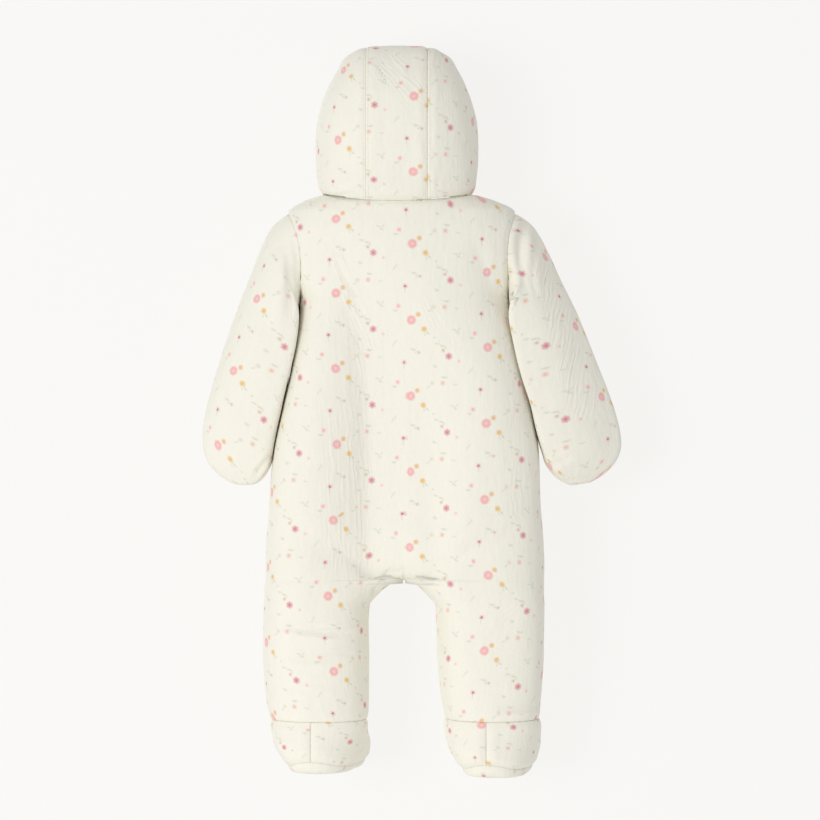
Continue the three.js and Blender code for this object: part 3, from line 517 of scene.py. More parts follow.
FRONT_BUNDLES = (
    Bundle(-62, -62, -38, -118, 13, 24, 0.9),
    Bundle(60, -66, 40, -120, 13, -22, 0.9),
    Bundle(-24, -320, -66, -362, 12, -44, 0.8),
    Bundle(26, -322, 70, -366, 12, 46, 0.8),
    Bundle(146, -96, 170, -196, 14, -10, 0.8),
    Bundle(-136, -90, -160, -190, 13, 12, 0.8),
    Bundle(-70, -180, -66, -300, 20, 2, 0.5),
    Bundle(68, -170, 66, -310, 20, -2, 0.5),
    Bundle(66, -426, 112, -424, 6, 90, 0.8),
    Bundle(-110, -468, -66, -471, 6, 92, 0.8),
    Bundle(-60, 40, -44, 90, 12, 10, 0.5),
    Bundle(48, 36, 34, 84, 12, -12, 0.5),
)


class Wrinkles:
    """The cloth's own relief over the smooth form: creases, loose waves and puckers."""

    def __init__(self) -> None:
        """Draws the noises."""
        self.broad, self.loose, self.pucker = Grain(11), Grain(23), Grain(37)

    def lift(self, points: np.ndarray, normals: np.ndarray) -> np.ndarray:
        """How far the cloth stands out over the smooth form.

        Args:
            points: Points of the form in millimetres.
            normals: Their outward directions.

        Returns:
            Millimetres for each point.
        """
        x, z = points[:, 0], points[:, 2]
        behind = smooth(-1.5 * normals[:, 1] + 0.1)
        ahead = smooth(1.5 * normals[:, 1] + 0.1)
        lift = -(BACK_CREASES.press(x, z) + BACK_ROLLS.press(x, z)) * behind
        lift -= FRONT_CREASES.press(x, z) * ahead
        lift += 0.9 * self.broad.at(points, (46, 46, 70))
        lift += 0.45 * self.loose.at(points, (17, 17, 34))
        lift += 0.22 * self.pucker.at(points, (6.4, 6.4, 15))
        return lift

    def bundles(self, points: np.ndarray, normals: np.ndarray) -> np.ndarray:
        """The fine wrinkles' directions.

        Args:
            points: Points of the form in millimetres.
            normals: Their outward directions.

        Returns:
            For each point its place across the wrinkles, its place along them and their strength.
        """
        x, z = points[:, 0], points[:, 2]
        best, second = np.zeros((len(points), 3)), np.zeros(len(points))
        for rows, facing in ((BACK_BUNDLES, -1), (FRONT_BUNDLES, 1)):
            seen = smooth(2.2 * facing * normals[:, 1])
            for bundle in rows:
                weight = bundle.weight(x, z) * seen
                c, s = math.cos(math.radians(bundle.lean)), math.sin(math.radians(bundle.lean))
                found = np.stack([x * c + z * s, x * s - z * c, weight], axis=1)
                second = np.maximum(second, np.minimum(weight, best[:, 2]))
                best = np.where((weight > best[:, 2])[:, None], found, best)
        best[:, 2] -= second
        return best


# --------------------------------------------------------------------------------------------------
# Shells: cut pieces of padded cloth as closed walls
# --------------------------------------------------------------------------------------------------


@dataclass
class Shell:
    """One cut piece of padded cloth: its outer face, its lining and its turned edges.

    Args:
        name: The piece's name.
        node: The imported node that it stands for.
        points: The outer face's points in millimetres.
        quads: The faces' corners.
        chart: Each point's place on the flat cloth, across and down, in millimetres.
        inside: A point on the lining's side.
    """

    name: str
    node: str
    points: np.ndarray
    quads: np.ndarray
    chart: np.ndarray
    inside: Sequence[float]
    grid: Optional[np.ndarray] = None
    wall: float = 4.6
    normals: np.ndarray = field(init=False)
    outer: np.ndarray = field(init=False)
    border: np.ndarray = field(init=False)
    area: float = field(init=False)

    def __post_init__(self) -> None:
        """Turns the faces outwards and finds the normals, the border and the area."""
        normals, self.area = self.face_sums(self.points)
        facing = np.sum((self.points - np.asarray(self.inside, float)) * normals)
        if facing < 0:
            self.quads = self.quads[:, ::-1]
            normals = -normals
        self.normals = normals / np.maximum(np.linalg.norm(normals, axis=1, keepdims=True), 1e-9)
        self.border = self.find_border()

    def face_sums(self, points: np.ndarray) -> tuple[np.ndarray, float]:
        """Sums the faces' directions at each point.

        Args:
            points: The points' places.

        Returns:
            The summed directions, and the area in square millimetres.
        """
        a, b, c, d = (points[self.quads[:, k]] for k in range(4))
        cross = np.cross(c - a, d - b) / 2
        sums = np.zeros_like(points)
        for k in range(4):
            for axis in range(3):
                sums[:, axis] += np.bincount(self.quads[:, k], cross[:, axis], len(points))
        return sums, float(np.linalg.norm(cross, axis=1).sum())

    def find_border(self) -> np.ndarray:
        """The directed edges that belong to one face only."""
        edges = np.concatenate([self.quads[:, [k, (k + 1) % 4]] for k in range(4)])
        edges = edges[edges[:, 0] != edges[:, 1]]
        order = np.sort(edges, axis=1)
        _, index, count = np.unique(order, axis=0, return_index=True, return_counts=True)
        return edges[index[count == 1]]

    def outward(self) -> np.ndarray:
        """The direction in the cloth, out over its edge, at each border point, and zero elsewhere."""
        a, b = self.border[:, 0], self.border[:, 1]
        run = self.points[b] - self.points[a]
        run /= np.maximum(np.linalg.norm(run, axis=1, keepdims=True), 1e-9)
        out = np.zeros_like(self.points)
        for ends in (a, b):
            np.add.at(out, ends, np.cross(run, self.normals[ends]))
        return out / np.maximum(np.linalg.norm(out, axis=1, keepdims=True), 1e-9)

    def mesh(self, lift: np.ndarray, bundles: np.ndarray) -> bpy.types.Object:
        """Makes the closed wall.

        Args:
            lift: How far each outer point stands over the smooth form.
            bundles: The fine wrinkles' directions.

        Returns:
            The new object, with the map "print", the attribute "bundle" and faces for two materials.
        """
        count = len(self.points)
        outer = self.points + self.normals * lift[:, None]
        self.outer = outer
        inner = self.points - self.normals * self.wall
        rim = self.border
        points = np.concatenate([outer, inner]) * MM
        faces = np.concatenate([
            self.quads,
            self.quads[:, ::-1] + count,
            np.stack([rim[:, 1], rim[:, 0], rim[:, 0] + count, rim[:, 1] + count], axis=1),
        ])
        kinds = np.concatenate([np.zeros(len(self.quads)), np.ones(len(self.quads)), np.zeros(len(rim))])
        corners = [[v for k, v in enumerate(face) if v != face[k - 1]] for face in faces.tolist()]
        mesh = bpy.data.meshes.new(self.name)
        mesh.from_pydata(points.tolist(), [], corners)
        mesh.polygons.foreach_set("material_index", kinds.astype(np.int32))
        mesh.shade_smooth()
        chart = np.concatenate([self.chart, self.chart])
        loops = np.zeros(len(mesh.loops), np.int32)
        mesh.loops.foreach_get("vertex_index", loops)
        layer = mesh.uv_layers.new(name="print")
        layer.data.foreach_set("uv", chart[loops].astype(np.float32).ravel())
        edges = np.zeros(len(mesh.edges) * 2, np.int32)
        mesh.edges.foreach_get("vertices", edges)
        edges = np.sort(edges.reshape(-1, 2), axis=1)
        rims = np.sort(rim, axis=1)
        codes = edges[:, 0] * (2 * count) + edges[:, 1]
        sharp = np.isin(codes, (rims[:, 0] + count) * (2 * count) + rims[:, 1] + count)
        mesh.attributes.new("sharp_edge", "BOOLEAN", "EDGE").data.foreach_set("value", sharp)
        lines = np.concatenate([bundles, 0 * bundles]).astype(np.float32)
        mesh.attributes.new("bundle", "FLOAT_VECTOR", "POINT").data.foreach_set("vector", lines.ravel())
        mesh.validate()
        obj = bpy.data.objects.new(self.name, mesh)
        bpy.context.scene.collection.objects.link(obj)
        return obj


def grid_quads(ids: np.ndarray) -> np.ndarray:
    """The faces of a grid of point numbers."""
    a, b, c, d = ids[:-1, :-1], ids[:-1, 1:], ids[1:, 1:], ids[1:, :-1]
    return np.stack([a, b, c, d], axis=-1).reshape(-1, 4)


def even_shares(line: Callable[[np.ndarray], np.ndarray], parts: np.ndarray) -> tuple[np.ndarray, np.ndarray]:
    """Spreads columns evenly along each row of a form.

    Args:
        line: Gives the points of every row at the shares in one array.
        parts: How far along a row each column lies, from 0 to 1.

    Returns:
        The shares of every row's columns, and the rows' lengths.
    """
    dense = np.linspace(0, 1, 361)
    points = line(dense[None, :])
    steps = np.linalg.norm(np.diff(points, axis=1), axis=2)
    run = np.concatenate([np.zeros((len(points), 1)), np.cumsum(steps, axis=1)], axis=1)
    length = run[:, -1]
    shares = np.array([np.interp(parts * total, row, dense) for row, total in zip(run, length)])
    return shares, length


def parts_along(length: float, step: float) -> np.ndarray:
    """Column places from 0 to 1 for a row of a given length, closer together beside its two ends."""
    count = max(2, int(round(length / step)))
    near = np.array([0.7, 1.5]) / length
    return np.unique(np.concatenate([np.linspace(0, 1, count + 1), near, 1 - near]))


class Sewing:
    """Joins the shells at their seams: shared edge directions, rolled edges and the cloth's relief."""

    def __init__(self, shells: Sequence[Shell], wrinkles: Wrinkles) -> None:
        """Gathers the border points of all shells.

        Args:
            shells: All pieces of cloth.
            wrinkles: The cloth's relief.
        """
        self.shells = shells
        self.wrinkles = wrinkles
        self.edge_points = [np.unique(shell.border) for shell in shells]
        total = sum(len(ids) for ids in self.edge_points)
        self.tree = KDTree(total)
        self.edge_normals = np.concatenate([s.normals[i] for s, i in zip(shells, self.edge_points)])
        spots = np.concatenate([s.points[i] for s, i in zip(shells, self.edge_points)])
        for k, spot in enumerate(spots):
            self.tree.insert(spot, k)
        self.tree.balance()

    def roll(self, points: np.ndarray) -> np.ndarray:
        """How far an edge rolls in: least at the nape, most at the ankles and soles."""
        z = points[:, 2]
        low = smooth((-490 - z) / 20)
        nape = np.exp(-((z / 16) ** 2)) * smooth((70 - np.abs(points[:, 0])) / 20 + 1)
        hood = np.exp(-(((points[:, 0] + 37.5) / 6) ** 2)) * smooth(points[:, 2] / 14) * (points[:, 1] < 0)
        return 0.9 + 0.25 * low - 0.5 * nape - 0.45 * hood

    def directions(self, shell: Shell, ids: np.ndarray) -> np.ndarray:
        """The directions of a shell's wall, shared with the pieces that it is sewn to."""
        normals = shell.normals.copy()
        for v in ids:
            near = [k for _, k, _ in self.tree.find_range(shell.points[v], 2.2)]
            summed = self.edge_normals[near].sum(axis=0)
            size = np.linalg.norm(summed)
            if size > 0.2:
                normals[v] = summed / size
        return normals

    def sew(self, shell: Shell, ids: np.ndarray) -> bpy.types.Object:
        """Makes one shell's mesh.

        Args:
            shell: The piece of cloth.
            ids: Its border points.

        Returns:
            The finished object.
        """
        tree = KDTree(len(ids))
        for k, v in enumerate(ids):
            tree.insert(shell.points[v], k)
        tree.balance()
        away = np.array([tree.find(p)[2] for p in shell.points])
        r = self.roll(shell.points)
        dip = np.clip(r - away, 0, r)
        rolled = np.sqrt(np.maximum(r * r - dip * dip, 0)) - r
        puff = 0.6 * np.exp(-(((away - 7) / 4.5) ** 2)) - 0.5 * r * np.exp(-((away / 3.2) ** 2))
        free = smooth(away / 7)
        bundles = self.wrinkles.bundles(shell.points, shell.normals)
        lift = self.wrinkles.lift(shell.points, shell.normals) * free + rolled + puff
        lift = np.clip(lift, -4.2, 3.4)
        shell.normals = self.directions(shell, ids)
        shell.points += 0.12 * shell.outward()
        return shell.mesh(lift, bundles)


class Edge(Enum):
    """An edge of a shell's grid of points: its turn of the grid, and whether it counts from the far end."""

    FIRST_COLUMN = (False, False)
    LAST_COLUMN = (False, True)
    FIRST_ROW = (True, False)
    LAST_ROW = (True, True)


def inset_line(shell: Shell, edge: Edge, inset: float, lift: float = 0.12) -> np.ndarray:
    """A line on the finished cloth, beside one of its edges.

    Args:
        shell: The sewn shell.
        edge: The edge.
        inset: The way from the edge.
        lift: How far the line stands over the cloth.

    Returns:
        The line's points.
    """
    turned, far = edge.value
    grid = shell.grid.T if turned else shell.grid
    grid = (grid[:, ::-1] if far else grid)[:, :16]
    points = shell.outer[grid] + lift * shell.normals[grid]
    run = np.cumsum(np.linalg.norm(np.diff(points, axis=1), axis=2), axis=1)
    k = np.minimum((run < inset).sum(axis=1), grid.shape[1] - 2)
    rows = np.arange(len(grid))
    before = np.where(k > 0, run[rows, np.maximum(k - 1, 0)], 0)
    share = ((inset - before) / np.maximum(run[rows, k] - before, 1e-6))[:, None]
    return mix(points[rows, k], points[rows, k + 1], np.clip(share, 0, 1))


# --------------------------------------------------------------------------------------------------
# Sub-assemblies
# --------------------------------------------------------------------------------------------------


@dataclass
class Body:
    """The filled-out body and legs: the back in one piece and the two fronts."""

    seam: float = 0.3
    shoulder_lift: float = 9.0
    lift_fade: float = 22.0
    neck_centre: float = -6.0
    neck_half: float = 75.0
    neck_depth: float = 54.0
    crotch: float = -374.0
    seat_height: float = 66.0
    sling_height: float = 54.0
    rim_height: float = 2.0
    ankle: float = -514.0
    armhole_top: float = -14.0
    armhole_end: float = -96.0
    zip_gap: float = 5.0
    zip_end: float = -326.0
    zip_closed: float = -337.0

    def neck_lift(self, x: np.ndarray, y: np.ndarray, face: Any) -> np.ndarray:
        """How much the neck seam stands over the level: highest at the sides, lowest in front."""
        across = ((x - self.neck_centre) / self.neck_half) ** 2
        out = (y / self.neck_depth) ** 2
        share = across / np.maximum(across + out, 1e-9)
        return self.shoulder_lift * np.where(np.asarray(face) < 0, share, 2 * share - 1)

    def torso(self, side: int, face: int, z: Any, angle: Any) -> np.ndarray:
        """A point of the plain torso at an angle that is 90 degrees at its middle and 0 at its side."""
        square = TORSO.at("square", z)
        depth = TORSO.at("back" if face < 0 else "front", z)
        x = TORSO.at("centre", z) + side * TORSO.at("half", z) * power(np.cos(angle), square)
        y = face * depth * power(np.sin(angle), square)
        return points_of(x, y, z + self.neck_lift(x, y, face) * np.exp(np.asarray(z) / self.lift_fade))

    def leg(self, side: int, face: int, z: Any, angle: Any, gap: Any) -> np.ndarray:
        """A point of a leg at an angle that is 0 at its outer side and 180 degrees at the inseam."""
        name = "left" if side < 0 else "right"
        outer = LEGS.at(name + "Outer", z)
        inner = side * np.maximum(side * LEGS.at(name + "Inner", z), gap)
        square = LEGS.at(name + "Square", z)
        depth = LEGS.at("back" if face < 0 else "front", z)
        x = (outer + inner) / 2 + (outer - inner) / 2 * power(np.cos(angle), square)
        return points_of(x, face * depth * power(np.sin(angle), square), z)

    def armhole_angle(self, z: Any) -> np.ndarray:
        """The angle at which the torso ends at the armhole, or 0 above and below it."""
        angle = angle_at(ARMHOLE.at("edge", z), TORSO.at("half", z), TORSO.at("square", z))
        z = np.asarray(z, float)
        return np.where((z <= self.armhole_top) & (z >= self.armhole_end), angle, 0.0)

    def point(self, side: int, face: int, z: Any, share: Any, gap: Any = 0.0) -> np.ndarray:
        """A point of the body's cloth.

        Args:
            side: -1 for the wearer's left, 1 for the right.
            face: -1 for the back, 1 for the front.
            z: The height.
            share: 0 at the middle or inseam, 1 at the side or armhole.
            gap: How far the middle edge stands from the body's middle.

        Returns:
            The points in millimetres.
        """
        z, share = np.broadcast_arrays(np.asarray(z, float), np.asarray(share, float))
        gap = np.broadcast_to(gap, z.shape)
        start = angle_at(gap - side * TORSO.at("centre", z), TORSO.at("half", z), TORSO.at("square", z))
        torso = self.torso(side, face, z, mix(start, self.armhole_angle(z), share))
        leg = self.leg(side, face, np.minimum(z, self.crotch), np.pi * (1 - share), gap)
        up = np.clip((z - self.crotch) / self.seat_height, 0, 1)
        high = np.maximum(z - self.crotch, 0)
        rim, rise = (np.minimum(high / size, 1) for size in (self.rim_height, self.sling_height))
        under = 0.3 * np.sqrt(1 - (1 - rim) ** 2) + 0.7 * np.sqrt(1 - (1 - rise) ** 2)
        seat = mix(under, smooth(up), smooth(1.7 * share))
        below = z <= self.crotch
        point = torso.copy()
        point[..., 0] = np.where(below, leg[..., 0], mix(leg[..., 0], torso[..., 0], seat))
        point[..., 1] = np.where(below, leg[..., 1], mix(leg[..., 1], torso[..., 1], seat))
        point[..., 2] = np.where(below, z, torso[..., 2])
        folds = [BACK_FOLDS, *VALLEYS] if face < 0 else [FRONT_FOLDS]
        room = np.minimum(1, np.abs(point[..., 1]) / 30)
        pressed = sum(fold.press(point[..., 0], point[..., 2]) for fold in folds)
        point[..., 1] -= face * pressed * room
        point[..., 1] += face * self.seam / 2
        return point

    def middle_gap(self, z: np.ndarray) -> np.ndarray:
        """Half the gap between the fronts: room for the zip, and a plain seam below it."""
        closed = smooth((-z + self.zip_end) / (self.zip_end - self.zip_closed))
        return mix(self.zip_gap, self.seam / 2, closed)

    def rows_above(self) -> np.ndarray:
        """Heights from the neck down to the crotch, closest together beside both."""
        t = np.linspace(0, 1, 17)
        return np.concatenate([
            np.linspace(0, -5, 9)[:-1],
            np.linspace(-5, -13, 9)[:-1],
            np.linspace(-13, -34, 13)[:-1],
            np.linspace(-34, -354, 161)[:-1],
            -354 - 20 * (1 - (1 - t) ** 2),
        ])

    def rows_below(self) -> np.ndarray:
        """Heights from the crotch down to the ankle."""
        t = np.linspace(0, 1, 17)
        end = self.ankle + self.seam / 2
        return np.concatenate([-374 - 27 * t**2, np.linspace(-401, end + 2.4, 56)[1:], [end + 1.4, end + 0.6, end]])

    def chart(self, side: int, face: int, z: np.ndarray, parts: np.ndarray, length: np.ndarray) -> np.ndarray:
        """Places on the flat cloth for rows of a body half.

        Args:
            side: The half's side.
            face: Back or front.
            z: The rows' heights.
            parts: The columns' places along a row.
            length: The rows' lengths.

        Returns:
            Across and down, in millimetres.
        """
        angle = np.linspace(np.pi / 2, 0, 200)
        top = np.maximum(z, self.crotch)
        plain = self.torso(1, face, top[:, None], angle[None, :])
        full = np.linalg.norm(np.diff(plain, axis=1), axis=2).sum(axis=1)
        fade = smooth((z - self.crotch) / 40)[:, None]
        weight = 1 - (1 - parts[None, :]) ** 3 * np.where(z < self.crotch + 0.001, 0, 1)[:, None] * fade
        hung = np.where(z < self.crotch + self.seat_height, full - length, 0)[:, None]
        across = parts[None, :] * length[:, None] + hung * weight
        slope = 9 * np.exp(z[:, None] / 25) * smooth((across - 30) / 50)
        return np.stack([side * across, -z[:, None] - slope], axis=-1)

    def half(self, side: int, face: int, z: np.ndarray, parts: np.ndarray) -> tuple[np.ndarray, np.ndarray]:
        """The points and the chart of one half, from the middle to the side."""
        gap = self.middle_gap(z)[:, None] if face > 0 else 0.0
        shares, length = even_shares(lambda s: self.point(side, face, z[:, None], s, gap), parts)
        points = self.point(side, face, z[:, None], shares, gap)
        return points, self.chart(side, face, z, parts, length)

    def back(self) -> Shell:
        """The back, in one piece from the neck to both ankles."""
        parts = parts_along(180, 2.4)
        above, below = self.rows_above(), self.rows_below()
        count = len(parts)
        halves = {side: self.half(side, -1, np.concatenate([above, below[1:]]), parts) for side in (-1, 1)}
        rows = len(above)
        ids, points, chart, start = [], [], [], 0
        torso = [np.concatenate([halves[-1][k][:rows, :0:-1], halves[1][k][:rows]], axis=1) for k in (0, 1)]
        torso[0][:, count - 1, 0] = 0
        torso_ids = np.arange(rows * (2 * count - 1)).reshape(rows, -1)
        points.append(torso[0].reshape(-1, 3))
        chart.append(torso[1].reshape(-1, 2))
        ids.append(grid_quads(torso_ids))
        start = torso_ids.size
        for side in (-1, 1):
            leg, flat = (halves[side][k][rows:] for k in (0, 1))
            first = torso_ids[-1, count - 1 :] if side > 0 else torso_ids[-1, count - 1 :: -1]
            leg_ids = np.concatenate([first[None], start + np.arange(leg[..., 0].size).reshape(leg.shape[:2])])
            ids.append(grid_quads(leg_ids if side > 0 else leg_ids[:, ::-1]))
            points.append(leg.reshape(-1, 3))
            chart.append(flat.reshape(-1, 2))
            start += leg[..., 0].size
        return Shell("padded_back", "back_panel", np.concatenate(points), np.concatenate(ids), np.concatenate(chart), (0, 0, -250))

    def front(self, side: Side) -> Shell:
        """One front with the front of its leg."""
        parts = parts_along(180, 2.4)
        z = np.concatenate([self.rows_above(), self.rows_below()[1:]])
        points, chart = self.half(side.value, 1, z, parts)
        ids = np.arange(points[..., 0].size).reshape(points.shape[:2])
        inside = (side.value * 60, 0, -250)
        name = "front_" + side.word
        return Shell("padded_" + name, name, points.reshape(-1, 3), grid_quads(ids), chart.reshape(-1, 2), inside, ids)


@dataclass
class Sleeve:
    """One sleeve with its closed mitt, as a back and a front half."""

    body: Body
    side: Side
    clearance: float = 1.2
    step: float = 2.1

    def skew(self, face: int) -> float:
        """How much deeper the sleeve is beside the body than at its outer edge."""
        if face > 0:
            return 0.08
        return 0.5 if self.side is Side.RIGHT else 0.25

    def lean_over(self, z: np.ndarray, deep: np.ndarray) -> np.ndarray:
        """How far the body's side has rounded away at a depth, which the sleeve's back then covers."""
        square = TORSO.at("square", z)
        left = 1 - np.minimum(deep / TORSO.at("back", z), 0.8) ** square
        return TORSO.at("half", z) * (1 - left ** (1 / square))

    def stations(self, face: int, share: np.ndarray) -> np.ndarray:
        """The sleeve's sections as points, from just below the armhole to the mitt's tip."""
        side = self.side.value
        rows = []
        for number, (outer_x, outer_z, inner_z, off, rest, depth) in enumerate(SLEEVES[self.side]):
            near = float(self.body.torso(side, face, inner_z, 0.0)[0])
            inner_x = side * rest if off is None else near + side * (self.clearance + off)
            angle = np.pi * share
            across = (1 - power(np.cos(angle), 2.2)) / 2
            x, z = mix(side * outer_x, inner_x, across), mix(outer_z, inner_z, across)
            square = 2.2 + (3.6 if face < 0 else 0.7) * smooth(2 * across - 0.6)
            deep = depth * power(np.sin(angle), square) * (1 + self.skew(face) * (2 * across - 1))
            if face < 0 and off is not None:
                x = x - side * self.lean_over(z, deep) * smooth(2.5 * across - 1.3) * min(1.0, number / 4)
            rows.append(points_of(x, deep, z))
        return np.array(rows)

    def armhole(self, face: int, share: np.ndarray) -> np.ndarray:
        """The loop on the body that this half is sewn to."""
        top, end = self.body.armhole_top, self.body.armhole_end
        z = (top + end) / 2 + (top - end) / 2 * np.cos(np.pi * share)
        loop = self.body.point(self.side.value, face, z, 1.0)
        middle = np.array([self.side.value * 123.8, 0.0, (top + end) / 2])
        toward = middle - loop
        return loop + 0.3 * toward / np.linalg.norm(toward, axis=1, keepdims=True)

    def half(self, face: Face) -> Shell:
        """One half of the sleeve, back or front."""
        side, sign = self.side.value, face.value
        share = parts_along(118, self.step)
        sections = self.stations(sign, share)
        first = self.armhole(sign, share) * (1, sign, 1)
        line = np.concatenate([first[None], sections])
        key = np.linspace(0, len(line) - 1, 1200)
        middle = hermite(line[:, [len(share) // 2]], key)[:, 0]
        run = np.concatenate([[0], np.cumsum(np.linalg.norm(np.diff(middle, axis=0), axis=1))])
        places = np.interp(parts_along(run[-1], self.step) * run[-1], run, key)
        points = hermite(line, places)
        tip = np.clip(places - (len(line) - 2), 0, 1)[:, None]
        points[..., 1] = np.where(tip > 0, sections[-2][..., 1] * np.sqrt(1 - tip**2), points[..., 1])
        room = np.minimum(1, points[..., 1] / 20)
        points[..., 1] -= SLEEVE_FOLDS.press(points[..., 0], points[..., 2]) * np.maximum(room, 0)
        points[..., 1] = sign * (np.maximum(points[..., 1], 0) + 0.15)
        axis = np.array([0.33, -0.94]) if side > 0 else np.array([-0.33, -0.94])
        down = points[..., 0] * axis[0] + points[..., 2] * axis[1]
        across = side * 36 * np.pi * (0.5 - share)[None, :] + side * 128 + 0 * down
        if sign > 0:
            across = side * 256 + side * 37 - across
        chart = np.stack([across, down], axis=-1)
        ids = np.arange(down.size).reshape(down.shape)
        node = f"sleeve_{face.word}_{self.side.word}"
        return Shell("padded_" + node, node, points.reshape(-1, 3), grid_quads(ids), chart.reshape(-1, 2), (side * 155, 0, -150), ids)


@dataclass
class Hood:
    """The three-piece hood: a middle panel from the forehead to the nape, and two sides."""

    body: Body
    centre: float = -7.0
    square: float = 2.6
    half_strip: float = 30.5
    pivot_y: float = 4.0
    pivot_z: float = 72.0
    step: float = 2.1

    def on_neck(self, x: np.ndarray, y: np.ndarray, z: np.ndarray) -> np.ndarray:
        """Sets the dome down on the neck seam, whose rise fades up the hood."""
        lift = self.body.neck_lift(x, y, np.sign(y)) * np.exp(-np.maximum(z, 0) / self.body.lift_fade)
        return points_of(x, y, z + self.body.seam + lift)

    def dome(self, side: int, z: np.ndarray, angle: np.ndarray) -> np.ndarray:
        """A point of the dome at an angle that is 0 at its side and negative behind."""
        depth = np.where(angle < 0, HOOD.at("back", z), HOOD.at("front", z))
        x = self.centre + side * HOOD.at("half", z) * power(np.cos(angle), self.square)
        return self.on_neck(x, depth * power(np.sin(angle), self.square), z)

    def side(self, side: Side) -> Shell:
        """One side of the hood, from its seam behind round to the face opening."""
        seam_out = self.half_strip + self.body.seam / 2
        levels = np.linspace(60, 157, 4000)
        crown = levels[HOOD.at("half", levels) > seam_out][-1] - 0.1
        dense = np.linspace(0, crown, 3000)
        run = np.concatenate([[0], np.cumsum(np.hypot(np.diff(dense), np.diff(HOOD.at("half", dense))))])
        z = np.interp(parts_along(run[-1], self.step) * run[-1], run, dense)[:, None]
        back = -angle_at(seam_out, HOOD.at("half", z), self.square)
        face = np.minimum(1, HOOD.at("face", z) / HOOD.at("front", z)) ** (self.square / 2)
        front = np.minimum(np.arcsin(face), -back)
        parts = parts_along(185, self.step)
        shares, length = even_shares(lambda s: self.dome(side.value, z, mix(back, front, s)), parts)
        points = self.dome(side.value, z, mix(back, front, shares))
        up = np.interp(z[:, 0], dense, run)
        across = self.centre + side.value * (self.half_strip + parts[None, :] * length[:, None])
        chart = np.stack([across, np.broadcast_to(-up[:, None], across.shape)], axis=-1)
        ids = np.arange(across.size).reshape(across.shape)
        name = "hood_side_" + side.word
        return Shell("padded_" + name, name, points.reshape(-1, 3), grid_quads(ids), chart.reshape(-1, 2), (self.centre, 10, 70), ids)

    def strip(self, across: np.ndarray, turn: np.ndarray) -> np.ndarray:
        """The dome's point at a place across the middle panel, in a direction round the pivot."""
        near, far = np.full(turn.shape, 5.0), np.full(turn.shape, 200.0)
        for _ in range(34):
            reach = (near + far) / 2
            y, z = self.pivot_y + reach * np.cos(turn), self.pivot_z + reach * np.sin(turn)
            level = np.maximum(z, 0)
            depth = np.where(y < 0, HOOD.at("back", level), HOOD.at("front", level))
            width = HOOD.at("half", level)
            out = (np.abs(across) / width) ** self.square + (np.abs(y) / depth) ** self.square > 1
            out |= z >= HOOD.key[-1]
            far, near = np.where(out, reach, far), np.where(out, near, reach)
        y, z = self.pivot_y + near * np.cos(turn), self.pivot_z + near * np.sin(turn)
        return self.on_neck(self.centre + across, y, z)

    def middle(self) -> Shell:
        """The middle panel."""
        half = self.half_strip - self.body.seam / 2
        across = mix(-half, half, parts_along(2 * half, self.step))[None, :]
        low, high = np.full(across.shape, 0.3), np.full(across.shape, np.pi / 2)
        for _ in range(34):
            turn = (low + high) / 2
            point = self.strip(across, turn)
            ahead = point[..., 1] > HOOD.at("face", point[..., 2])
            low, high = np.where(ahead, turn, low), np.where(ahead, high, turn)
        width = HOOD.at("half", 0)
        nape = -HOOD.at("back", 0) * (1 - (np.abs(across) / width) ** self.square) ** (1 / self.square)
        end = np.arctan2(-self.pivot_z, nape - self.pivot_y) + 2 * np.pi
        dense = np.linspace(0, 1, 500)[:, None]
        points = self.strip(across + 0 * dense, mix(high, end, dense))
        middle = points[:, points.shape[1] // 2]
        run = np.concatenate([[0], np.cumsum(np.linalg.norm(np.diff(middle, axis=0), axis=1))])
        down = np.interp(parts_along(run[-1], self.step) * run[-1], run, dense[:, 0])[:, None]
        points = self.strip(across + 0 * down, mix(high, end, down))
        length = np.interp(down[:, 0], dense[:, 0], run) - run[-1]
        chart = np.stack([np.broadcast_to(self.centre + across, points.shape[:2]),
                          np.broadcast_to(length[:, None], points.shape[:2])], axis=-1)
        ids = np.arange(points[..., 0].size).reshape(points.shape[:2])
        inside = (self.centre, self.pivot_y, self.pivot_z)
        return Shell("padded_hood_middle", "hood_middle", points.reshape(-1, 3), grid_quads(ids), chart.reshape(-1, 2), inside, ids)


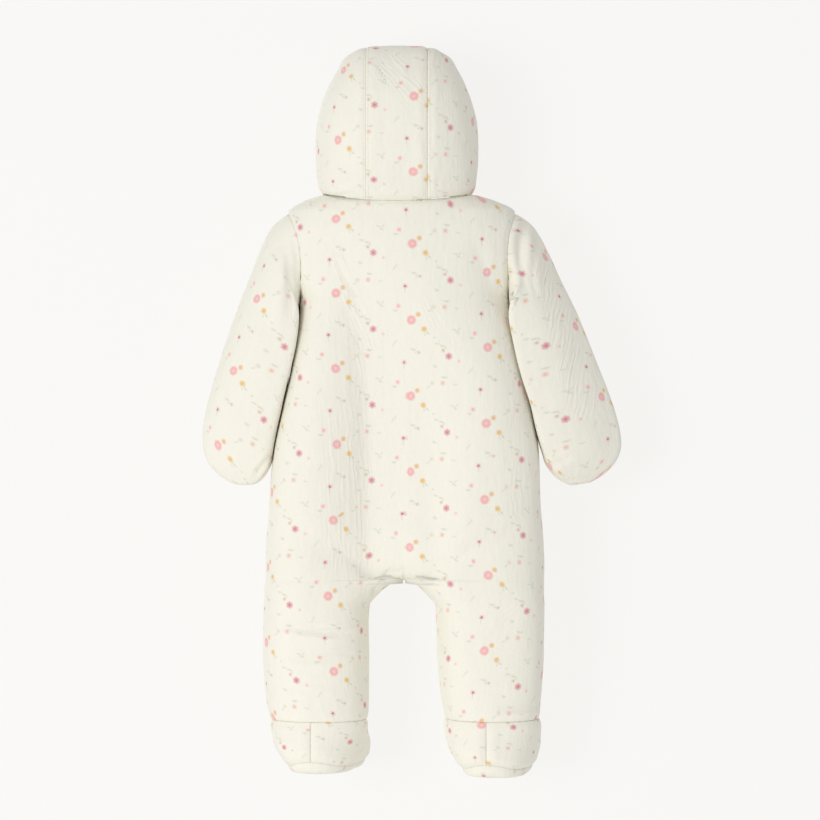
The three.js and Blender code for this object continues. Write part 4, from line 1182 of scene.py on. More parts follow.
@dataclass
class Foot:
    """One closed foot: an upper with a seam up the heel, and a sole."""

    body: Body
    side: Side
    lift: float = 5.5
    bottom: float = -559.5
    middle_y: float = 14.0

    @property
    def drop(self) -> float:
        """How much lower this foot hangs."""
        return 3.0 if self.side is Side.RIGHT else 0.0

    @property
    def slant(self) -> float:
        """How far the toes swing to +X for each millimetre forward."""
        return 0.13 if self.side is Side.RIGHT else 0.2

    def rise(self, turn: np.ndarray) -> np.ndarray:
        """How much the sole's seam rises round the heel."""
        return self.lift * np.maximum(0, np.cos(2 * np.pi * turn)) ** 7

    @property
    def heel_seam(self) -> float:
        """Where the straight heel seam runs."""
        return 81.0 if self.side is Side.RIGHT else -92.0

    def ring(self, sizes: Sequence[Any], z: Any, down: Any, turn: np.ndarray) -> np.ndarray:
        """A ring of the foot.

        Args:
            sizes: Centre, half width, heel, toe and squareness.
            z: The ring's height.
            down: 0 at the ankle and 1 at the sole.
            turn: 0 at the heel seam and 1 once round by way of the toe.

        Returns:
            The ring's points.
        """
        centre, half, heel, toe, square = sizes
        swing = self.slant * smooth(1.6 * np.asarray(down, float))
        ahead = centre - swing * (toe - heel) / 2 - self.heel_seam
        start = np.arcsin(power(np.clip(ahead / half, -0.9, 0.9), 4 / np.asarray(square, float)))
        angle = 2 * np.pi * turn + start
        reach = -((toe - heel) / 2) * power(np.cos(angle), square)
        across = -half * power(np.sin(angle), square)
        x = centre + across + swing * reach
        return points_of(x, (heel + toe) / 2 + reach, z + self.rise(turn) * down - self.drop * down)

    def upper_rings(self, turn: np.ndarray) -> np.ndarray:
        """The upper's points, ring by ring from the ankle."""
        top = self.body.ankle - self.body.seam / 2
        z = mix(top, self.bottom, parts_along(56, 2.1))[:, None]
        sizes = [FEET.at(name, z) for name in (self.side.word + "Centre", "half", "heel", "toe", "square")]
        return self.ring(sizes, z, (top - z) / (top - self.bottom), turn[None, :])

    def upper(self) -> Shell:
        """The upper, open along the heel seam."""
        turn = parts_along(300, 2.2)
        points = self.upper_rings(turn)
        points[:, 0, 0] -= self.body.seam / 2
        points[:, -1, 0] += self.body.seam / 2
        run = np.concatenate([[0], np.cumsum(np.linalg.norm(np.diff(points[0], axis=0), axis=1))])
        across = np.broadcast_to(self.side.value * 84 - run[None, :], points.shape[:2])
        down = np.broadcast_to(mix(514, 572, parts_along(56, 2.1))[:, None], points.shape[:2])
        ids = np.arange(points[..., 0].size).reshape(points.shape[:2])
        name = "foot_upper_" + self.side.word
        chart = np.stack([across, down], axis=-1).reshape(-1, 2)
        inside = (points[0, 0, 0], 10, -540)
        return Shell("padded_" + name, name, points.reshape(-1, 3), grid_quads(ids), chart, inside, ids)

    def sole(self) -> Shell:
        """The sole, a shallow dish just below the upper's edge."""
        turn = np.linspace(0, 1, 121)
        centre = float(FEET.at(self.side.word + "Centre", self.bottom))
        rim = self.upper_rings(turn)[-1] - (0, 0, self.body.seam)
        rings = [rim]
        for z, half, heel, toe, rise in SOLE_RINGS:
            ring = self.ring((centre, half, heel, toe, 2.4), z, 1.0, turn)
            ring[:, 2] = z - self.drop + self.rise(turn) * rise
            rings.append(ring)
        middle = np.array([centre, self.middle_y, SOLE_RINGS[-1][0] - self.drop - 0.3])
        rings.append(np.broadcast_to(middle, rim.shape))
        places = np.concatenate([[0, 0.12, 0.3], np.linspace(0, 4, 29)[4:]])
        grid = hermite(np.array(rings), np.unique(places))[:, :-1]
        count = grid.shape[1]
        ids = np.arange(grid[..., 0].size).reshape(grid.shape[:2])
        ids[-1] = ids[-1, 0]
        ids = np.concatenate([ids, ids[:, :1]], axis=1)
        points = grid.reshape(-1, 3)[: ids[-1, 0] + 1]
        chart = points[:, [0, 1]] * (1, 1)
        quads = grid_quads(ids)
        shell = Shell("padded_foot_sole_" + self.side.word, "foot_sole_" + self.side.word, points, quads, chart, middle + (0, 0, 20))
        LOG.info("sole of %s columns", count)
        return shell


# --------------------------------------------------------------------------------------------------
# Materials
# --------------------------------------------------------------------------------------------------

Value = Union["Sock", float, Sequence[float]]


class Sock:
    """A shader value that Python arithmetic turns into Math nodes."""

    def __init__(self, shader: "Shader", socket: bpy.types.NodeSocket) -> None:
        """Wraps a socket of a shader."""
        self.shader = shader
        self.socket = socket

    def __add__(self, other: Value) -> "Sock":
        """self + other."""
        return self.shader.maths("ADD", self, other)

    def __radd__(self, other: Value) -> "Sock":
        """other + self."""
        return self.shader.maths("ADD", other, self)

    def __sub__(self, other: Value) -> "Sock":
        """self - other."""
        return self.shader.maths("SUBTRACT", self, other)

    def __rsub__(self, other: Value) -> "Sock":
        """other - self."""
        return self.shader.maths("SUBTRACT", other, self)

    def __mul__(self, other: Value) -> "Sock":
        """self * other."""
        return self.shader.maths("MULTIPLY", self, other)

    def __rmul__(self, other: Value) -> "Sock":
        """other * self."""
        return self.shader.maths("MULTIPLY", other, self)

    def __truediv__(self, other: Value) -> "Sock":
        """self / other."""
        return self.shader.maths("DIVIDE", self, other)

    def __rtruediv__(self, other: Value) -> "Sock":
        """other / self."""
        return self.shader.maths("DIVIDE", other, self)

    def __pow__(self, other: Value) -> "Sock":
        """self to the power of other."""
        return self.shader.maths("POWER", self, other)

    def clamped(self) -> "Sock":
        """self held between 0 and 1."""
        return self.shader.maths("ADD", self, 0.0, use_clamp=True)


class Shader:
    """A node material under construction."""

    def __init__(self, name: str) -> None:
        """Starts an empty node tree with its output and main shader."""
        self.material = bpy.data.materials.new(name)
        self.material.use_nodes = True
        self.tree = self.material.node_tree
        self.tree.nodes.clear()
        self.out = self.tree.nodes.new("ShaderNodeOutputMaterial")
        self.main = self.tree.nodes.new("ShaderNodeBsdfPrincipled")
        self.tree.links.new(self.main.outputs[0], self.out.inputs[0])

    def node(self, kind: str, settings: Optional[dict] = None, inputs: Optional[dict] = None) -> bpy.types.Node:
        """Adds a node.

        Args:
            kind: The node's type.
            settings: Its properties, set first; a ramp's stops come as "stops".
            inputs: Values or links of its sockets, by name or number.

        Returns:
            The node.
        """
        node = self.tree.nodes.new(kind)
        for name, value in (settings or {}).items():
            if name == "stops":
                ramp = node.color_ramp.elements
                while len(ramp) < len(value):
                    ramp.new(0.5)
                for element, (place, colour) in zip(ramp, value):
                    element.position, element.color = place, (*colour, 1.0)
            else:
                setattr(node, name, value)
        for name, value in (inputs or {}).items():
            socket = node.inputs[name]
            if isinstance(value, Sock):
                self.tree.links.new(value.socket, socket)
            elif hasattr(value, "__len__") and socket.type == "RGBA" and len(value) == 3:
                socket.default_value = (*value, 1.0)
            else:
                socket.default_value = value
        return node

    def maths(self, operation: str, *values: Value, use_clamp: bool = False) -> Sock:
        """Adds a Math node and gives its result."""
        settings = {"operation": operation, "use_clamp": use_clamp}
        return Sock(self, self.node("ShaderNodeMath", settings, dict(enumerate(values))).outputs[0])

    def vector(self, operation: str, *values: Value) -> Sock:
        """Adds a Vector Math node and gives its result."""
        node = self.node("ShaderNodeVectorMath", {"operation": operation}, dict(enumerate(values)))
        scalar = operation in ("DOT_PRODUCT", "LENGTH", "DISTANCE")
        return Sock(self, node.outputs["Value" if scalar else "Vector"])

    def blend(self, share: Value, a: Value, b: Value) -> Sock:
        """A colour between a and b."""
        node = self.node("ShaderNodeMix", {"data_type": "RGBA"}, {0: share, 6: a, 7: b})
        return Sock(self, node.outputs[2])

    def noise(self, place: Sock, scale: float, detail: float = 2.0, rough: float = 0.5) -> Sock:
        """Noise from about 0 to 1."""
        inputs = {"Vector": place, "Scale": scale, "Detail": detail, "Roughness": rough}
        return Sock(self, self.node("ShaderNodeTexNoise", {}, inputs).outputs[0])

    def cloth_place(self) -> Sock:
        """Where a point lies on the flat cloth, in millimetres."""
        return Sock(self, self.node("ShaderNodeUVMap", {"uv_map": "print"}).outputs[0])

    def object_place(self) -> Sock:
        """Where a point lies in the row frame, in metres."""
        return Sock(self, self.node("ShaderNodeTexCoord").outputs["Object"])

    def finish(self, **sockets: Value) -> bpy.types.Material:
        """Sets the main shader's sockets.

        Args:
            sockets: Values by socket name, with _ for each space.

        Returns:
            The material.
        """
        for name, value in sockets.items():
            socket = self.main.inputs[name.replace("_", " ")]
            if isinstance(value, Sock):
                self.tree.links.new(value.socket, socket)
            elif hasattr(value, "__len__") and len(value) == 3 and socket.type == "RGBA":
                socket.default_value = (*value, 1.0)
            else:
                socket.default_value = value
        return self.material


@dataclass(frozen=True)
class Bloom:
    """A small flower of the print: its place in the repeat, its radius, petals and colours."""

    x: float
    y: float
    radius: float
    petals: int
    petal: tuple[float, float, float]
    heart: tuple[float, float, float]
    turn: float = 0.0
    strength: float = 0.85
    heart_size: float = 0.45


@dataclass(frozen=True)
class Leaf:
    """A leaf, stem or bud of the print: its place in the repeat, half length, half width and slope."""

    x: float
    y: float
    length: float
    width: float
    slope: float
    colour: tuple[float, float, float]
    strength: float = 0.7


PINK = (0.90, 0.40, 0.41)
PALE_PINK = (0.95, 0.58, 0.56)
ROSE = (0.84, 0.36, 0.40)
WINE = (0.36, 0.09, 0.13)
ORANGE = (0.82, 0.44, 0.22)
OCHRE = (0.85, 0.58, 0.20)
PEACH = (0.88, 0.60, 0.45)
SAGE = (0.50, 0.60, 0.47)
MIST = (0.62, 0.69, 0.60)
OLIVE = (0.56, 0.50, 0.34)

BLOOMS = (
    Bloom(0, 0, 4.9, 7, PINK, PALE_PINK, 0.3, 0.88, 0.42),
    Bloom(6.8, -5.4, 2.9, 4, ORANGE, OCHRE, 0.6, 0.85, 0.3),
    Bloom(12.8, 9, 3.3, 5, OCHRE, ORANGE, 0.2, 0.88, 0.2),
    Bloom(-13, -13.8, 2.9, 4, PALE_PINK, PINK, 0.8, 0.8, 0.4),
    Bloom(-7, 41.5, 3.0, 5, PALE_PINK, WINE, 0.4, 0.85, 0.38),
    Bloom(-38.5, 8.7, 3.8, 6, ROSE, WINE, 0.5, 0.85, 0.24),
    Bloom(-28.4, 13.5, 2.2, 3, PALE_PINK, PINK, 0.1, 0.7, 0.3),
    Bloom(-44.2, 35, 3.0, 4, PEACH, ROSE, 0.9, 0.72, 0.3),
    Bloom(21.8, -12.5, 2.7, 3, PEACH, MIST, 0.2, 0.55, 0.5),
    Bloom(7.6, 32, 2.3, 3, PEACH, OLIVE, 0.0, 0.75, 0.5),
    Bloom(32.0, 30.0, 2.6, 3, PEACH, OLIVE, 1.1, 0.7, 0.5),
)
LEAVES = (
    Leaf(16.4, 12.8, 3.0, 1.1, 0.75, SAGE),
    Leaf(13.6, 14.2, 2.2, 0.9, 1.4, SAGE, 0.5),
    Leaf(-16.2, -9.2, 3.0, 1.4, 0.1, SAGE, 0.6),
    Leaf(-42.7, 29.5, 3.8, 1.5, 0.1, SAGE, 0.6),
    Leaf(-52.2, 19, 2.8, 1.5, 0.3, MIST, 0.6),
    Leaf(-30.5, -14.6, 3.4, 1.4, 0.6, MIST, 0.75),
    Leaf(-33.6, -17.4, 2.6, 1.2, 0.2, MIST, 0.7),
    Leaf(-28.6, -17.6, 2.6, 1.0, -0.9, SAGE, 0.5),
    Leaf(-50.2, -3.5, 2.8, 1.4, 0.1, MIST, 0.8),
    Leaf(1.8, 29, 3.4, 1.5, 0.2, SAGE, 0.6),
    Leaf(4.6, 31.6, 2.0, 1.0, -0.6, OLIVE, 0.5),
    Leaf(-17.7, 23.5, 3.8, 0.9, -1.1, MIST, 0.7),
    Leaf(-15.2, 21.2, 2.8, 0.9, -1.4, MIST, 0.6),
    Leaf(-31.7, 36.5, 3.0, 1.2, 0.1, MIST, 0.6),
    Leaf(-7.2, 46.2, 2.6, 0.9, 1.4, SAGE, 0.45),
    Leaf(18.4, -9.0, 2.6, 1.0, -0.5, SAGE, 0.5),
    Leaf(24.0, 45, 2.8, 1.1, 0.4, MIST, 0.6),
    Leaf(31.2, 25.6, 3.2, 1.2, 0.2, OLIVE, 0.55),
    Leaf(34.2, 27.2, 2.2, 1.0, 1.0, SAGE, 0.5),
    Leaf(23.2, 17.5, 1.5, 1.2, 0.0, OLIVE, 0.45),
)


@dataclass(frozen=True)
class PrintedGauze:
    """Crinkled double gauze over wadding, in cream with a small flower print and painted shade in the crinkle's
    hollows.
    """

    cream: tuple[float, float, float] = (0.905, 0.882, 0.785)
    # The colour of the painted shade in the crinkle's hollows.
    shade: tuple[float, float, float] = (0.850, 0.825, 0.710)
    across: tuple[float, float] = (76.0, 27.0)
    down: tuple[float, float] = (-0.8, 74.6)
    start: tuple[float, float] = (7.5, 117.6)
    soft: float = 2.2
    crinkle: float = 0.55
    spacing: float = 4.7

    def repeat(self, shader: Shader, place: Sock) -> Sock:
        """A place in units of the print's repeat, counted from its start."""
        (ax, ay), (bx, by) = self.across, self.down
        area = ax * by - ay * bx
        moved = shader.vector("SUBTRACT", place, (*self.start, 0.0))
        s = shader.vector("DOT_PRODUCT", moved, (by / area, -bx / area, 0.0))
        t = shader.vector("DOT_PRODUCT", moved, (-ay / area, ax / area, 0.0))
        return Sock(shader, shader.node("ShaderNodeCombineXYZ", {}, {0: s, 1: t}).outputs[0])

    def wrapped(self, shader: Shader, repeat: Sock, x: float, y: float) -> Sock:
        """The place counted from the nearest copy of one motif, in units of the repeat."""
        (ax, ay), (bx, by) = self.across, self.down
        area = ax * by - ay * bx
        s, t = (x * by - y * bx) / area, (y * ax - x * ay) / area
        moved = shader.vector("SUBTRACT", repeat, (s, t, 0.0))
        node = shader.node("ShaderNodeVectorMath", {"operation": "WRAP"},
                           {0: moved, 1: (0.5, 0.5, 0.5), 2: (-0.5, -0.5, -0.5)})
        return Sock(shader, node.outputs[0])

    def turned(self, shader: Shader, near: Sock, turn: float, stretch: tuple[float, float]) -> tuple[Sock, Sock]:
        """The place on a motif's own axes, divided by its half sizes."""
        (ax, ay), (bx, by) = self.across, self.down
        c, s = math.cos(turn), math.sin(turn)
        a, b = stretch
        along = shader.vector("DOT_PRODUCT", near, ((c * ax + s * ay) / a, (c * bx + s * by) / a, 0.0))
        over = shader.vector("DOT_PRODUCT", near, ((c * ay - s * ax) / b, (c * by - s * bx) / b, 0.0))
        return along, over

    def printed(self, shader: Shader, place: Sock, ground: Sock) -> Sock:
        """The ground colour with the flowers and leaves printed on it."""
        repeat = self.repeat(shader, place)
        wobble = shader.noise(place, 0.9, 1.0) - 0.5
        colour = ground
        for leaf in LEAVES:
            near = self.wrapped(shader, repeat, leaf.x, leaf.y)
            along, over = self.turned(shader, near, leaf.slope, (leaf.length, leaf.width))
            bend = over + along * along * 0.35
            reach = along * along + bend * bend
            mask = ((1.25 - reach + wobble * 0.9) * 0.75).clamped() * (0.8 * leaf.strength)
            colour = shader.blend(mask, colour, leaf.colour)
        for bloom in BLOOMS:
            near = self.wrapped(shader, repeat, bloom.x, bloom.y)
            x, y = self.turned(shader, near, bloom.turn, (bloom.radius, bloom.radius))
            out = shader.maths("SQRT", x * x + y * y)
            petal = shader.maths("COSINE", shader.maths("ARCTAN2", y, x) * float(bloom.petals))
            edge = 1.12 + petal * 0.04 + wobble * 0.35
            mask = ((edge - out) * (bloom.radius / self.soft)).clamped() * bloom.strength
            heart = ((bloom.heart_size + wobble * 0.3 - out) * 2.2 + 0.4).clamped()
            vein = (0.5 + petal * 0.5) * 0.25
            tint = shader.blend(heart, shader.blend(vein, bloom.petal, bloom.heart), bloom.heart)
            colour = shader.blend(mask, colour, tint)
        return colour

    def relief(self, shader: Shader, place: Sock) -> Sock:
        """The height of the crinkle, in units of its own depth."""
        stretched = shader.vector("MULTIPLY", place, (1.0, 0.30, 1.0))
        coarse = shader.noise(stretched, 0.23, 2.0, 0.5)
        fine = shader.noise(stretched, 0.7, 2.0, 0.55)
        weave = shader.noise(place, 2.2, 1.0, 0.5)
        lines = shader.node("ShaderNodeAttribute", {"attribute_name": "bundle"}).outputs["Vector"]
        split = shader.node("ShaderNodeSeparateXYZ", {}, {0: Sock(shader, lines)})
        across, along, depth = (Sock(shader, split.outputs[k]) for k in range(3))
        near = Sock(shader, shader.node("ShaderNodeCombineXYZ", {}, {0: across / 13.0, 1: along / 30.0}).outputs[0])
        broken = Sock(shader, shader.node("ShaderNodeCombineXYZ", {}, {0: across / 5.5, 1: along / 24.0}).outputs[0])
        wander = (shader.noise(near, 1.0, 2.0) - 0.5) * 2.4
        wave = shader.maths("SINE", (across / self.spacing + wander) * (2 * math.pi))
        seen = ((shader.noise(broken, 1.0, 1.0) - 0.38) * 4.0).clamped() * depth
        return coarse * 1.15 * (1.0 - depth * 0.4) + fine * 0.32 + weave * 0.05 + (wave * 0.5 + 0.5) * seen * 0.9

    def material(self, name: str = "printed_gauze", printed: bool = True) -> bpy.types.Material:
        """Builds the material."""
        shader = Shader(name)
        place = shader.cloth_place()
        relief = self.relief(shader, place)
        # Painted shade: the ground darkens towards the shade colour where the crinkle's relief is low, in its hollows
        # and in the wrinkles' troughs.
        crinkle_hollow_shade = ((relief - 0.75) * 1.4 + 0.5).clamped()
        ground = shader.blend(crinkle_hollow_shade * 0.35 + 0.65, self.shade, self.cream)
        colour = self.printed(shader, place, ground) if printed else ground
        bump = shader.node("ShaderNodeBump", {}, {"Strength": 1.0, "Distance": self.crinkle * MM, "Height": relief})
        return shader.finish(Base_Color=colour, Roughness=0.92, Normal=Sock(shader, bump.outputs[0]),
                             Specular_IOR_Level=0.25, Sheen_Weight=0.12, Sheen_Roughness=0.5)


@dataclass(frozen=True)
class Lining:
    """Plain brushed jersey on the inside."""

    cream: tuple[float, float, float] = (0.87, 0.85, 0.76)
    pile: float = 0.35

    def material(self) -> bpy.types.Material:
        """Builds the material."""
        shader = Shader("brushed_lining")
        place = shader.cloth_place()
        fuzz = shader.noise(place, 1.1, 4.0, 0.7)
        rib = shader.noise(shader.vector("MULTIPLY", place, (3.0, 0.5, 1.0)), 0.8, 1.0)
        # Partly the pile's own uneven tone and partly painted shade: the colour is darker where the pile's height is
        # low.
        colour = shader.blend(fuzz, tuple(0.93 * c for c in self.cream), self.cream)
        bump = shader.node("ShaderNodeBump", {}, {"Strength": 1.0, "Distance": self.pile * MM, "Height": fuzz + rib * 0.4})
        return shader.finish(Base_Color=colour, Roughness=1.0, Normal=Sock(shader, bump.outputs[0]),
                             Specular_IOR_Level=0.2, Sheen_Weight=0.3, Sheen_Roughness=0.6)


@dataclass(frozen=True)
class Webbing:
    """Woven zip tape: fine ribs across its width."""

    cream: tuple[float, float, float] = (0.86, 0.835, 0.715)

    def material(self) -> bpy.types.Material:
        """Builds the material."""
        shader = Shader("zip_webbing")
        place = shader.object_place()
        split = shader.node("ShaderNodeSeparateXYZ", {}, {0: place})
        x, z = Sock(shader, split.outputs[0]), Sock(shader, split.outputs[2])
        rib = shader.maths("SINE", z * (2 * math.pi / 0.0009)) * shader.maths("SINE", x * (2 * math.pi / 0.0011))
        # Painted shade: the colour is darker in the troughs between the ribs and follows the ribs' height.
        colour = shader.blend((rib * 0.5 + 0.5).clamped(), tuple(0.93 * c for c in self.cream), self.cream)
        bump = shader.node("ShaderNodeBump", {}, {"Strength": 0.8, "Distance": 0.00015, "Height": rib})
        return shader.finish(Base_Color=colour, Roughness=0.85, Normal=Sock(shader, bump.outputs[0]))


@dataclass(frozen=True)
class Coil:
    """Nylon of the zip's coil."""

    cream: tuple[float, float, float] = (0.85, 0.82, 0.70)

    def material(self) -> bpy.types.Material:
        """Builds the material."""
        shader = Shader("zip_coil")
        tone = shader.noise(shader.object_place(), 260.0, 2.0)
        colour = shader.blend(tone, tuple(0.95 * c for c in self.cream), self.cream)
        return shader.finish(Base_Color=colour, Roughness=0.38, Specular_IOR_Level=0.5)


@dataclass(frozen=True)
class EnamelledMetal:
    """Cream enamel on cast zinc, worn thin where it is handled."""

    enamel: tuple[float, float, float] = (0.80, 0.765, 0.64)
    worn: tuple[float, float, float] = (0.55, 0.53, 0.49)

    def material(self) -> bpy.types.Material:
        """Builds the material."""
        shader = Shader("enamelled_zip_metal")
        place = shader.object_place()
        wear = ((shader.noise(place, 420.0, 4.0, 0.6) - 0.66) * 9.0).clamped()
        colour = shader.blend(wear, self.enamel, self.worn)
        grain = shader.noise(place, 1500.0, 2.0)
        bump = shader.node("ShaderNodeBump", {}, {"Strength": 0.4, "Distance": 0.00004, "Height": grain})
        return shader.finish(Base_Color=colour, Roughness=wear * 0.1 + 0.3, Metallic=wear * 0.9,
                             Normal=Sock(shader, bump.outputs[0]), Coat_Weight=0.3, Coat_Roughness=0.15)


@dataclass(frozen=True)
class Thread:
    """Cream sewing thread, twisted from three strands."""

    cream: tuple[float, float, float] = (0.88, 0.86, 0.74)

    def material(self) -> bpy.types.Material:
        """Builds the material."""
        shader = Shader("sewing_thread")
        twist = shader.noise(shader.object_place(), 2600.0, 1.0)
        colour = shader.blend(twist, tuple(0.9 * c for c in self.cream), self.cream)
        return shader.finish(Base_Color=colour, Roughness=0.7, Sheen_Weight=0.2)


# --------------------------------------------------------------------------------------------------
# Rows of small parts
# --------------------------------------------------------------------------------------------------


class RowOfParts:
    """Sets one small part at even steps along a line, with a Geometry Nodes tree."""

    def __init__(self, name: str) -> None:
        """Builds the tree, with inputs for the step, the part, its unevenness, the seed and the material."""
        self.tree = bpy.data.node_groups.new(name, "GeometryNodeTree")
        face = self.tree.interface
        face.new_socket("Geometry", in_out="INPUT", socket_type="NodeSocketGeometry")
        self.ids: dict[str, str] = {}
        for label, kind in (("Step", "NodeSocketFloat"), ("Part", "NodeSocketObject"), ("Unevenness", "NodeSocketFloat"),
                            ("Seed", "NodeSocketInt"), ("Material", "NodeSocketMaterial")):
            self.ids[label] = face.new_socket(label, in_out="INPUT", socket_type=kind).identifier
        face.new_socket("Geometry", in_out="OUTPUT", socket_type="NodeSocketGeometry")
        make, link = self.tree.nodes.new, self.tree.links.new
        start, end = make("NodeGroupInput"), make("NodeGroupOutput")
        even = make("GeometryNodeResampleCurve")
        even.mode = "LENGTH"
        link(start.outputs["Geometry"], even.inputs["Curve"])
        link(start.outputs["Step"], even.inputs["Length"])
        tangent = make("GeometryNodeInputTangent")
        align = make("FunctionNodeAlignRotationToVector")
        align.axis = "Z"
        link(tangent.outputs[0], align.inputs["Vector"])
        chance = make("FunctionNodeRandomValue")
        chance.data_type = "FLOAT_VECTOR"
        spread = make("ShaderNodeVectorMath")
        spread.operation = "SCALE"
        spread.inputs[0].default_value = (1, 1, 1)
        link(start.outputs["Unevenness"], spread.inputs["Scale"])
        lower = make("ShaderNodeVectorMath")
        lower.operation = "SCALE"
        lower.inputs["Scale"].default_value = -1
        link(spread.outputs[0], lower.inputs[0])
        link(lower.outputs[0], chance.inputs[0])
        link(spread.outputs[0], chance.inputs[1])
        link(start.outputs["Seed"], chance.inputs["Seed"])
        turn = make("FunctionNodeRotateRotation")
        turn.rotation_space = "LOCAL"
        link(align.outputs[0], turn.inputs["Rotation"])
        link(chance.outputs[0], turn.inputs["Rotate By"])
        part = make("GeometryNodeObjectInfo")
        link(start.outputs["Part"], part.inputs["Object"])
        place = make("GeometryNodeInstanceOnPoints")
        link(even.outputs["Curve"], place.inputs["Points"])
        link(part.outputs["Geometry"], place.inputs["Instance"])
        link(turn.outputs[0], place.inputs["Rotation"])
        real = make("GeometryNodeRealizeInstances")
        link(place.outputs[0], real.inputs[0])
        paint = make("GeometryNodeSetMaterial")
        link(real.outputs[0], paint.inputs["Geometry"])
        link(start.outputs["Material"], paint.inputs["Material"])
        link(paint.outputs[0], end.inputs[0])

    def along(self, name: str, lines: Sequence[np.ndarray], part: bpy.types.Object, step: float,
              material: bpy.types.Material, uneven: float = 0.0, seed: int = 1) -> bpy.types.Object:
        """Makes the row as a plain mesh.

        Args:
            name: The new piece's name.
            lines: Polylines in millimetres.
            part: The part's object, along its own Z.
            step: Millimetres from part to part.
            material: The finish.
            uneven: The largest turn of a part about each axis, in radians.
            seed: Fixes the unevenness.

        Returns:
            The new piece.
        """
        curve = bpy.data.curves.new(name + "_line", "CURVE")
        curve.dimensions = "3D"
        for line in lines:
            spline = curve.splines.new("POLY")
            spline.points.add(len(line) - 1)
            flat = np.concatenate([line * MM, np.ones((len(line), 1))], axis=1)
            spline.points.foreach_set("co", flat.astype(np.float32).ravel())
        path = bpy.data.objects.new(name + "_line", curve)
        bpy.context.scene.collection.objects.link(path)
        modifier = path.modifiers.new("row", "NODES")
        modifier.node_group = self.tree
        modifier[self.ids["Step"]] = step * MM
        modifier[self.ids["Part"]] = part
        modifier[self.ids["Unevenness"]] = uneven
        modifier[self.ids["Seed"]] = seed
        modifier[self.ids["Material"]] = material
        depsgraph = bpy.context.evaluated_depsgraph_get()
        mesh = bpy.data.meshes.new_from_object(path.evaluated_get(depsgraph), preserve_all_data_layers=True, depsgraph=depsgraph)
        mesh.name = name
        bpy.data.objects.remove(path)
        obj = bpy.data.objects.new(name, mesh)
        bpy.context.scene.collection.objects.link(obj)
        return obj


def turned_bar(name: str, length: float, radius: float, sides: int = 6, ends: int = 2) -> bpy.types.Object:
    """A small round-ended bar along Z, in millimetres, hidden from the render."""
    rings, points = [], []
    for k in range(2 * ends):
        lean = math.pi / 2 * (k + 0.5) / ends - math.pi / 2 if k < ends else math.pi / 2 * (k - ends + 0.5) / ends
        rings.append((radius * math.cos(lean), radius * math.sin(lean) + (length / 2 - radius) * (-1 if k < ends else 1)))
    for wide, z in rings:
        points += [(wide * math.cos(2 * math.pi * j / sides), wide * math.sin(2 * math.pi * j / sides), z) for j in range(sides)]
    faces = [(i * sides + j, i * sides + (j + 1) % sides, (i + 1) * sides + (j + 1) % sides, (i + 1) * sides + j)
             for i in range(len(rings) - 1) for j in range(sides)]
    faces += [tuple(range(sides))[::-1], tuple((len(rings) - 1) * sides + j for j in range(sides))]
    mesh = bpy.data.meshes.new(name)
    mesh.from_pydata([tuple(v * MM for v in p) for p in points], [], faces)
    mesh.shade_smooth()
    return bpy.data.objects.new(name, mesh)


@dataclass
class Zip:
    """The zip down the front: two tapes, the coil and the dressed slider and pull."""

    body: Body
    half_width: float = 4.6
    thickness: float = 1.1
    below_cloth: float = 2.0
    coil_step: float = 1.3
    coil_out: float = 1.15

    def line(self, z: np.ndarray) -> tuple[np.ndarray, np.ndarray]:
        """The zip's line down the front, and its outward directions."""
        def place(level: np.ndarray) -> np.ndarray:
            point = self.body.point(1, 1, level, 0.0, self.body.zip_gap)
            point[:, 0] = 0
            return point
        along = place(z - 0.5) - place(z + 0.5)
        out = np.stack([0 * z, -along[:, 2], along[:, 1]], axis=1)
        return place(z), out / np.linalg.norm(out, axis=1, keepdims=True)

    def tapes(self, finish: bpy.types.Material) -> bpy.types.Object:
        """The two tapes as one ribbon with a slit where the coil closes them."""
        z = np.linspace(-0.4, self.body.zip_closed + 2, 230)
        line, out = self.line(z)
        section = [(-4.6, -1.0), (-4.2, -0.25), (-2.2, -0.2), (-1.2, 0.0), (-0.25, 0.0), (0, -0.35), (0.25, 0.0),
                   (1.2, 0.0), (2.2, -0.2), (4.2, -0.25), (4.6, -1.0), (0, -1.15)]
        narrow = np.minimum(1, (self.body.middle_gap(z) - 0.25) / self.half_width)[:, None]
        rings = np.array([line + out * (o - self.below_cloth) + narrow * np.array([x, 0, 0]) for x, o in section])
        rings = rings.transpose(1, 0, 2)
        count = len(section)
        ids = np.arange(rings.shape[0] * count).reshape(-1, count)
        ids = np.concatenate([ids, ids[:, :1]], axis=1)
        faces = grid_quads(ids).tolist() + [list(range(count))[::-1], ids[-1, :count].tolist()]
        mesh = bpy.data.meshes.new("zip_tapes")
        mesh.from_pydata((rings.reshape(-1, 3) * MM).tolist(), [], faces)
        mesh.materials.append(finish)
        obj = bpy.data.objects.new("zip_tapes", mesh)
        bpy.context.scene.collection.objects.link(obj)
        return obj

    def coil(self, rows: RowOfParts, finish: bpy.types.Material) -> bpy.types.Object:
        """The coil, as two interleaved rows of nylon turns."""
        z = np.linspace(-1.2, self.body.zip_end + 1, 220)
        line, out = self.line(z)
        tooth = turned_bar("zip_turn", 3.0, 0.62, 6, 2)
        tooth.data.transform(Matrix.Rotation(math.pi / 2, 4, "Y"))
        lines = []
        for side in (-1, 1):
            shift = np.array([side * 0.75, 0, 0])
            path = line + out * (self.coil_out - 0.7 - self.below_cloth) + shift
            lines.append(path if side < 0 else path[1:])
        return rows.along("zip_coil", lines, tooth, self.coil_step, finish, 0.03, 5)


